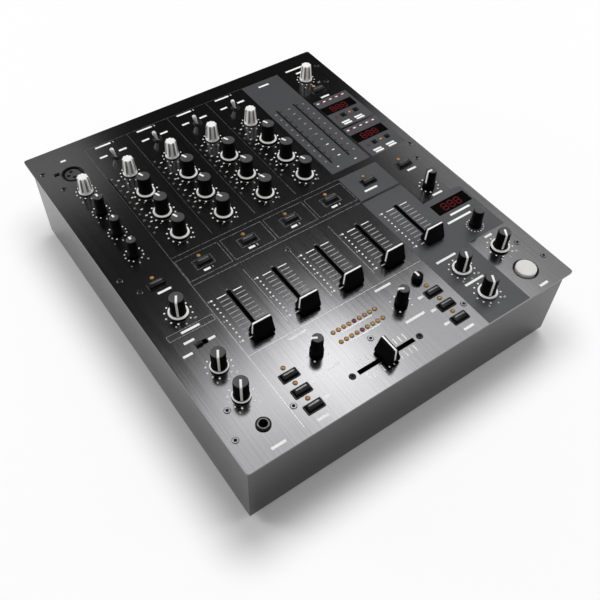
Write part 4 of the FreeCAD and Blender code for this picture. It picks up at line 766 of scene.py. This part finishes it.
turned(panel_sockets, [(0, -30), (7, -30), (7, -2), (4.5, -2), (4.5, 0.02), (5.8, 0.02), (5.8, 1.0),
                       (5.4, 1.4), (4.6, 1.4), (4.5, 1.75, BUSH), (4.3, 1.9, BUSH), (3.5, 1.9, BUSH),
                       (3.25, 1.6, BUSH), (3.25, -20), (0, -20)], 48, at(MIC, JACK_ROW))
piece("panel_sockets", panel_sockets, [socket_black, insert_grey, bush_steel], stands_for="sockets")

# Sockets at the back
# Blocks of four phono sockets stand behind the channels, with two ground
# posts below them, the mains inlet and the frame of the power switch.
REAR_WALL, SOCKET_HEIGHT, PHONO_REACH = 176.0, 48.0, 7
INLET, ROCKER = 132.0, 101.0
METAL, RED, PALE = 1, 2, 3
GROUND_COLUMNS, GROUND_HEIGHT, KNURLS = (-108.25, -21.65), 23.0, 36
GROUND_POST = [(0, 0), (4.4, 0), (4.4, 0.6), (2.2, 0.7), (2.2, 2.0), (3.2, 2.2), (3.5, 2.6), (3.5, 5.6),
               (3.1, 6.0), (0, 6.0)]
phono_metal = finish("phono_metal", (0.62, 0.60, 0.55), 0.25, (700, 0.08, 0.06, 0.00001), metallic=1.0)
phono_red = finish("phono_red", (0.35, 0.02, 0.02), 0.4, (700, 0.1, 0.05, 0.00001))
phono_white = finish("phono_white", (0.6, 0.59, 0.56), 0.4, (700, 0.06, 0.05, 0.00001))


def on_back(x, z):
    """A place on the rear wall, with its upright axis pointing out of it."""
    return at(x, REAR_WALL, z) @ swing(-90, "X")


def knurled(radius, height, angle):
    """Cuts grooves into the grip of a ground post."""
    return radius - (0.18 if radius > 3.3 and height > 1 and round(angle / math.tau * KNURLS) % 2 else 0)


rear = bmesh.new()
for column in [MIC, *CHANNELS]:
    stacked(rear, [(13.9, 13.9, 0.6, -12), (13.9, 13.9, 0.6, 0.7), (13.6, 13.6, 0.8, 1.0)],
            on_back(column, SOCKET_HEIGHT))
    for across, ring in ((-PHONO_REACH, PALE), (PHONO_REACH, RED)):
        for along in (-PHONO_REACH, PHONO_REACH):
            turned(rear, [(0, 0.8, ring), (5.4, 0.8, ring), (5.4, 1.9, ring), (5.1, 2.2, ring),
                          (4.2, 2.2, ring), (4.15, 8.6, METAL), (3.9, 9.0, METAL), (3.3, 9.0, METAL),
                          (3.2, 8.6, METAL), (3.1, 3.2), (1.7, 3.0), (1.6, 3.4), (0, 3.4)], 28,
                   on_back(column + across, SOCKET_HEIGHT + along))
for x in GROUND_COLUMNS:
    turned(rear, [(*point, METAL) for point in GROUND_POST], KNURLS, on_back(x, GROUND_HEIGHT), knurled)
for x, half_x, half_z, rim, depth, wall in ((INLET, 13.5, 9.75, 2.4, 20, 4), (ROCKER, 7.7, 11.7, 1.2, 14, 2)):
    levels = ((0, 0.5, -depth), (0, 0.5, 0), (rim, 1.0, 0), (rim, 1.0, 0.6), (rim - 0.4, 1.0, 1.0),
              (-1.3, 0.6, 1.0), (-1.5, 0.5, 0.6), (-1.5, 0.5, wall - depth))
    stacked(rear, [(half_x + more, half_z + more, corner, height) for more, corner, height in levels],
            on_back(x, SOCKET_HEIGHT))
for x, z in ((-7, -2), (7, -2), (0, 2)):
    stacked(rear, [(1.0, 2.0, 0.2, -16, METAL), (1.0, 2.0, 0.2, -4.6, METAL), (0.7, 1.6, 0.2, -4, METAL)],
            on_back(INLET + x, SOCKET_HEIGHT + z))
piece("rear_sockets", rear, [socket_black, phono_metal, phono_red, phono_white], stands_for="sockets",
      where=MILLIMETRES)

# Power rocker
# The mains switch is a black rocker with a shallow valley across its face, on
# two pins in its frame. ON and OFF signs are moulded in it.
ROCKER_HALF, ROCKER_EDGE, SIGN = 5.8, 0.3, 1
ROCKER_PIVOT, ROCKER_LEAN = 174.0, 8
SIGN_DEPTH, SIGN_SHIFT, FACE_SLOPE = 3.62, 5.4, 10
rocker = bmesh.new()
rocker_place = at(ROCKER, ROCKER_PIVOT, SOCKET_HEIGHT) @ swing(ROCKER_LEAN, "X")
outline = [(2.8, 0), (3.05, 2.5), (3.5, 5.5), (4.0, 8.2), (4.1, 8.8), (3.7, 9.0), (0, 9.0), (-5, 2.5),
           (-5, -2.5), (0, -9.0), (3.7, -9.0), (4.1, -8.8), (4.0, -8.2), (3.5, -5.5), (3.05, -2.5)]
sides = [[rocker.verts.new(rocker_place @ Vector((x, y, z))) for y, z in outline]
         for x in (-ROCKER_HALF, ROCKER_EDGE - ROCKER_HALF, ROCKER_HALF - ROCKER_EDGE, ROCKER_HALF)]
for loop, x in ((sides[0], ROCKER - ROCKER_HALF), (sides[-1], ROCKER + ROCKER_HALF)):
    centre = sum((vertex.co for vertex in loop), Vector()) / len(loop)
    for vertex in loop:
        vertex.co = vertex.co.lerp(centre, 0.04)
        vertex.co.x = x
    rocker.faces.new(loop)
for low, high in zip(sides, sides[1:]):
    skin(rocker, low, high)
stacked(rocker, [(0.35, 1.7, 0.1, -0.4, SIGN), (0.35, 1.7, 0.1, 0.05, SIGN)],
        rocker_place @ at(0, SIGN_DEPTH, SIGN_SHIFT) @ swing(FACE_SLOPE - 90, "X"))
band(rocker, 1.3, 1.9, -0.4, 0.05, 28,
     rocker_place @ at(0, SIGN_DEPTH, -SIGN_SHIFT) @ swing(-FACE_SLOPE - 90, "X"), SIGN)
bmesh.ops.remove_doubles(rocker, verts=rocker.verts, dist=0.001)
piece("power_rocker_moulded", rocker, [switch_black, white_ink], body="power_rocker",
      where=MILLIMETRES)

# Knobs
# The knobs are moulded caps pressed on the shafts of their controls. Tone and
# level knobs have a grey top, which is painted light: the black tops are made
# grey for the overhead light on them. They have a white edge round the skirt;
# the trims are white, with their flutes painted a darker silver grey as painted
# shade in the grooves; a white pointer is inlaid in the black ones.
knob_black = finish("knob_black", (0.002, 0.002, 0.0022), 0.45, (900, 0.2, 0.06, 0.00001), specular=0.06)
# Painted light: the tops of the black caps get a grey copy of the black, as if lit from above.
knob_top_painted_light = finish("knob_top_painted_light", (0.06, 0.06, 0.062), 0.45, (1100, 0.1, 0.05, 0.00001), specular=0.4)
# Painted shade: the flutes of the white trims get a darker, half metallic grey, where shade falls in the
# grooves.
knob_silver = finish("knob_silver", (0.5, 0.5, 0.485), 0.3, (900, 0.04, 0.05, 0.00001), metallic=0.6)
knob_white = finish("knob_white", (0.92, 0.91, 0.89), 0.38, (900, 0.04, 0.05, 0.00001))
BLACK, PAINTED_TOP_LIGHT, WHITE, FLUTE_SHADE = range(4)
FLUTES, FLUTE_DEPTH = 8, 0.85
POINTER_WIDTH = 1.8
SHAFT = [(0, -10), (3.0, -10), (3.0, 0.7)]


def cap_profile(radius, skirt, height, skirt_top, edge):
    """Half outline of a black cap with its top painted grey as painted light from above, over a skirt with
    its edge in one finish.
    """
    return SHAFT + [
        (skirt - 0.5, 0.8), (skirt, 1.1), (skirt, skirt_top - 0.9), (skirt - 0.1, skirt_top - 0.3, edge),
        (max(skirt - 1.75, radius + 0.45), skirt_top, edge), (radius + 0.4, skirt_top + 0.05),
        (radius + 0.05, skirt_top + 0.6), (radius - 0.05, height - 2.2), (radius - 0.2, height - 0.9),
        (radius - 0.5, height - 0.3), (radius - 0.95, height, PAINTED_TOP_LIGHT), (radius * 0.5, height - 0.05, PAINTED_TOP_LIGHT),
        (0, height - 0.08, PAINTED_TOP_LIGHT)]


tone_cap, selector_cap = cap_profile(6.1, 8.3, 19.4, 2.4, WHITE), cap_profile(4.8, 5.6, 18.9, 5.0, BLACK)
KNOB_PROFILES = {
    "tone": tone_cap, "level": tone_cap,
    "send": cap_profile(5.6, 8.3, 19.4, 2.4, WHITE),
    "phones": cap_profile(5.9, 7.4, 19.4, 2.4, WHITE),
    "slim": cap_profile(4.3, 5.2, 17.9, 2.4, BLACK),
    "select": selector_cap, "value": selector_cap, "assign": selector_cap,
    "curve": SHAFT + [(4.4, 0.8), (4.75, 1.0), (4.75, 2.0), (4.5, 2.4), (4.4, 5.4), (4.1, 5.9), (3.6, 6.0),
                      (0, 6.0)],
    "trim": SHAFT + [(*point, WHITE) for point in (
        (6.1, 0.8), (6.45, 1.1), (6.45, 1.8), (6.2, 2.3), (6.05, 3.2), (5.8, 6.5), (5.5, 10), (5.2, 13.5),
        (4.95, 16.2), (4.7, 17.1), (4.2, 17.5), (2, 17.45), (0, 17.4))],
}
REST_ANGLES = {"tone": 20, "level": 150, "send": 150, "phones": 150, "assign": 60, "select": 90}
POINTER_STARTS = {"tone": 0.6, "level": -1.6, "send": -1.6, "phones": -1.6, "slim": 0.4, "select": 0.0,
                  "assign": 0.0, "curve": -1.0}


def fluted(radius, height, angle):
    """Cuts concave flutes into the drum of a trim knob."""
    depth = FLUTE_DEPTH * min(1.0, max(0.0, (height - 2.0) / 0.8))
    return radius - depth * max(0.0, math.cos(FLUTES * angle)) ** 0.8 if radius > 4 else radius


def inlay(mesh, path, width, place, finish_number):
    """A strip of inlaid plastic along (reach, height) points, flush but for a hair."""
    loops = []
    for number, point in enumerate(path):
        before, after = Vector(path[max(number - 1, 0)]), Vector(path[min(number + 1, len(path) - 1)])
        run = (after - before).normalized()
        out = Vector((-run.y, run.x))
        shown, sunk = Vector(point) + out * 0.06, Vector(point) - out * 0.2
        loops.append([mesh.verts.new(place @ Vector((side * width / 2, reach.x, reach.y)))
                      for side, reach in ((-1, shown), (1, shown), (1, sunk), (-1, sunk))])
    for low, high in zip(loops, loops[1:]):
        skin(mesh, low, high, finish_number)
    for end in (loops[0], loops[-1]):
        mesh.faces.new(end).material_index = finish_number


def pointer_path(kind):
    """The pointer's line over a knob: along the top to the rim, and down the side where it goes on."""
    outline = [point[:2] for point in KNOB_PROFILES[kind]]
    top = max(height for _, height in outline)
    shoulder = top - 2.3
    rim = [(radius, height) for radius, height in outline
           if height > shoulder and radius > 0.6 * outline[-3][0]]
    path = [(POINTER_STARTS[kind], top), *reversed(rim)]
    if kind in ("level", "send", "phones", "select"):
        path += [(radius, height) for radius, height in reversed(outline)
                 if 2.3 < height < shoulder and radius < outline[-5][0] + 0.3]
    return path


for name, (x, y, _) in knob_places.items():
    kind = knob_kind(name)
    cap = bmesh.new()
    place = at(x, y) @ swing(REST_ANGLES.get(kind, 0), "Z")
    turned(cap, KNOB_PROFILES[kind], 64 if kind == "trim" else 48, place, fluted if kind == "trim" else None)
    # Painted shade: the faces down in the flutes take the darker grey.
    if kind == "trim":
        for face in cap.faces:
            spot = place.inverted() @ face.calc_center_median()
            if 3 < spot.z < 17 and math.cos(FLUTES * math.atan2(-spot.x, spot.y)) > 0.1:
                face.material_index = FLUTE_SHADE
    if kind in POINTER_STARTS:
        inlay(cap, pointer_path(kind), POINTER_WIDTH, place, WHITE)
    piece(name + "_cap", cap, [knob_black, knob_top_painted_light, knob_white, knob_silver], body=name)

# Faders
# Each fader cap is black moulded plastic: a broad foot, flanks that draw in
# to a rounded ridge, and a white line over the ridge and down its ends.
# It sits on a flat steel lever that runs in the panel's slot.
fader_black = finish("fader_black", (0.002, 0.002, 0.0022), 0.45, (900, 0.2, 0.06, 0.00001), specular=0.06)
FADER_REST, LINE_WIDTH = -95.0, 1.5
LINE, LEVER = 1, 2
FLANK_STEPS = 8
CAP_LEVELS = [(0.6, 2.0, 0.1, -12.4, LEVER), (0.6, 2.0, 0.1, 1.2, LEVER), (8.4, 5.5, 0.6, 1.2),
              (8.7, 5.8, 0.7, 1.5), (8.7, 5.8, 0.7, 4.0)]
for step in range(FLANK_STEPS + 1):
    share = step / FLANK_STEPS
    CAP_LEVELS.append((8.7 - 0.6 * share, 5.8 - 3.5 * (1 - (1 - share) ** 1.15), 0.7 - 0.2 * share,
                       4.4 + 10.7 * share))
CAP_LEVELS += [(8.07, 2.2, 0.5, 15.5), (8.0, 1.95, 0.5, 15.95), (7.85, 1.5, 0.5, 16.3),
               (7.6, 0.9, 0.4, 16.45)]
LINE_END = [(8.69, 4.6), (8.11, 15.1), (8.01, 15.95), (7.8, 16.35), (7.4, 16.45)]
LINE_PATH = [(-reach, height) for reach, height in LINE_END] + LINE_END[::-1]
faders = {f"channel_{number}_fader": (column, FADER_REST, 0)
          for number, column in enumerate(CHANNELS, start=1)}
faders.update({"master_fader": (MASTER, FADER_REST, 0), "crossfader": (CROSSFADER, CROSSFADER_ROW, 90)})
for name, (x, y, angle) in faders.items():
    cap = bmesh.new()
    place = at(x, y) @ swing(angle, "Z")
    stacked(cap, CAP_LEVELS, place)
    inlay(cap, LINE_PATH, LINE_WIDTH, place @ swing(-90, "Z"), LINE)
    piece(name + "_cap", cap, [fader_black, knob_white, screw_steel], body=name)

# Camera, light and floor
# The camera looks down on the mixer from its front left corner. Softboxes and
# cards overhead, a fill at each side and an even sky light it, on a pale floor
# that fades into a white background.
scene = bpy.context.scene
camera = bpy.data.objects.new("camera", bpy.data.cameras.new("camera"))
camera.data.lens, camera.data.sensor_width = 45.21313, 36.0
camera.matrix_world = (at(-0.269336, -0.381500, 0.550858) @ swing(-37.25477, "Z") @ swing(90 - 51.42809, "X")
                       @ swing(2.41012, "Z"))
scene.collection.objects.link(camera)
scene.camera = camera
scene.view_settings.view_transform = "Standard"


def softbox(name, spot, size, power, target=None):
    """A flat studio lamp that faces a point, or straight down."""
    lamp = bpy.data.lights.new(name, "AREA")
    lamp.shape, lamp.size, lamp.size_y, lamp.energy = "RECTANGLE", *size, power
    held = bpy.data.objects.new(name, lamp)
    aim = Vector(target or (*spot[:2], 0)) - Vector(spot)
    held.matrix_world = at(*spot) @ aim.to_track_quat("-Z", "Y").to_matrix().to_4x4()
    scene.collection.objects.link(held)


def seen_rays(tree):
    """The rays that show the background: the camera's, and those that metal and glass send on."""
    rays = add_node(tree, "ShaderNodeLightPath", {}).outputs
    seen = rays["Is Camera Ray"]
    for kind in ("Is Glossy Ray", "Is Transmission Ray"):
        either = add_node(tree, "ShaderNodeMath", {0: seen, 1: rays[kind]}, operation="MAXIMUM")
        seen = either.outputs["Value"]
    return seen


softbox("front_softbox", (0.565, 0.31, 1.4), (1.33, 0.62), 7.4)
softbox("middle_softbox", (0.53, 0.46, 1.38), (0.24, 0.42), 1.0)
softbox("left_softbox", (0.42, 0.58, 1.37), (0.46, 0.28), 0.9)
softbox("right_card", (1.53, 0.75, 1.4), (0.5, 1.2), 2.45)
softbox("rear_card", (0.13, 1.72, 1.4), (0.5, 0.42), 0.62)
softbox("left_fill", (-0.95, 0.8, 0.45), (0.5, 0.5), 8, target=(-0.1, 0.1, 0.04))
softbox("right_fill", (1.05, -0.6, 0.5), (0.5, 0.5), 3.5, target=(0.15, -0.22, 0.02))
SKY, HORIZON, CEILING = 0.4, 1.0, 0.025
world = bpy.data.worlds.new("studio")
world.use_nodes = True
scene.world = world
tree = world.node_tree
aim = add_node(tree, "ShaderNodeTexCoord", {})
rise = add_node(tree, "ShaderNodeSeparateXYZ", {"Vector": aim.outputs["Generated"]})
dusk = add_node(tree, "ShaderNodeMapRange", {"Value": rise.outputs["Z"], "From Min": 0.1, "From Max": 0.38,
                                             "To Min": HORIZON, "To Max": CEILING})
level = add_node(tree, "ShaderNodeMix", {"Factor": seen_rays(tree), 2: SKY, 3: dusk.outputs["Result"]},
                 data_type="FLOAT")
background = tree.nodes["Background"]
background.inputs["Color"].default_value = (1, 1, 1, 1)
tree.links.new(level.outputs[0], background.inputs["Strength"])

# The floor shows as white paper, but close to the case it keeps the shadow
FLOOR_REACH, SHADOW_WIDTH, PAPER = 6, 0.05, 0.9
PAPER_NEAR, PAPER_FAR = 0.3, 1.5
ORIGIN, HALF_PANEL = (0, 0, 0), (0.16, 0.188, 0)
floor = bpy.data.meshes.new("floor")
floor.from_pydata([(x, y, 0) for x, y in window(0, 0, 2 * FLOOR_REACH, 2 * FLOOR_REACH)], [], [(0, 1, 2, 3)])
floor_paint = finish("floor_paint", (0.88, 0.88, 0.88), 0.8, specular=0.1)
tree = floor_paint.node_tree
aside = add_node(tree, "ShaderNodeTexCoord", {}).outputs["Object"]
for operation, other in (("ABSOLUTE", ORIGIN), ("SUBTRACT", HALF_PANEL), ("MAXIMUM", ORIGIN)):
    moved = add_node(tree, "ShaderNodeVectorMath", {0: aside, 1: other}, operation=operation)
    aside = moved.outputs["Vector"]
aside = add_node(tree, "ShaderNodeVectorMath", {0: aside}, operation="LENGTH").outputs["Value"]
near = add_node(tree, "ShaderNodeMapRange", {"Value": aside, "From Max": SHADOW_WIDTH, "To Max": PAPER},
                interpolation_type="SMOOTHSTEP")
far = add_node(tree, "ShaderNodeMapRange", {"Value": aside, "From Min": PAPER_NEAR, "From Max": PAPER_FAR})
white = add_node(tree, "ShaderNodeMath", {0: near.outputs["Result"], 1: far.outputs["Result"]},
                 operation="MAXIMUM")
paper = add_node(tree, "ShaderNodeMath", {0: seen_rays(tree), 1: white.outputs["Value"]},
                 operation="MULTIPLY")
glow = add_node(tree, "ShaderNodeEmission", {"Color": (1, 1, 1, 1), "Strength": 1.0})
blended = add_node(tree, "ShaderNodeMixShader", {
    0: paper.outputs["Value"], 1: tree.nodes["Principled BSDF"].outputs["BSDF"], 2: glow.outputs["Emission"]})
tree.links.new(blended.outputs["Shader"], tree.nodes["Material Output"].inputs["Surface"])
floor.materials.append(floor_paint)
ground = bpy.data.objects.new("floor", floor)
scene.collection.objects.link(ground)
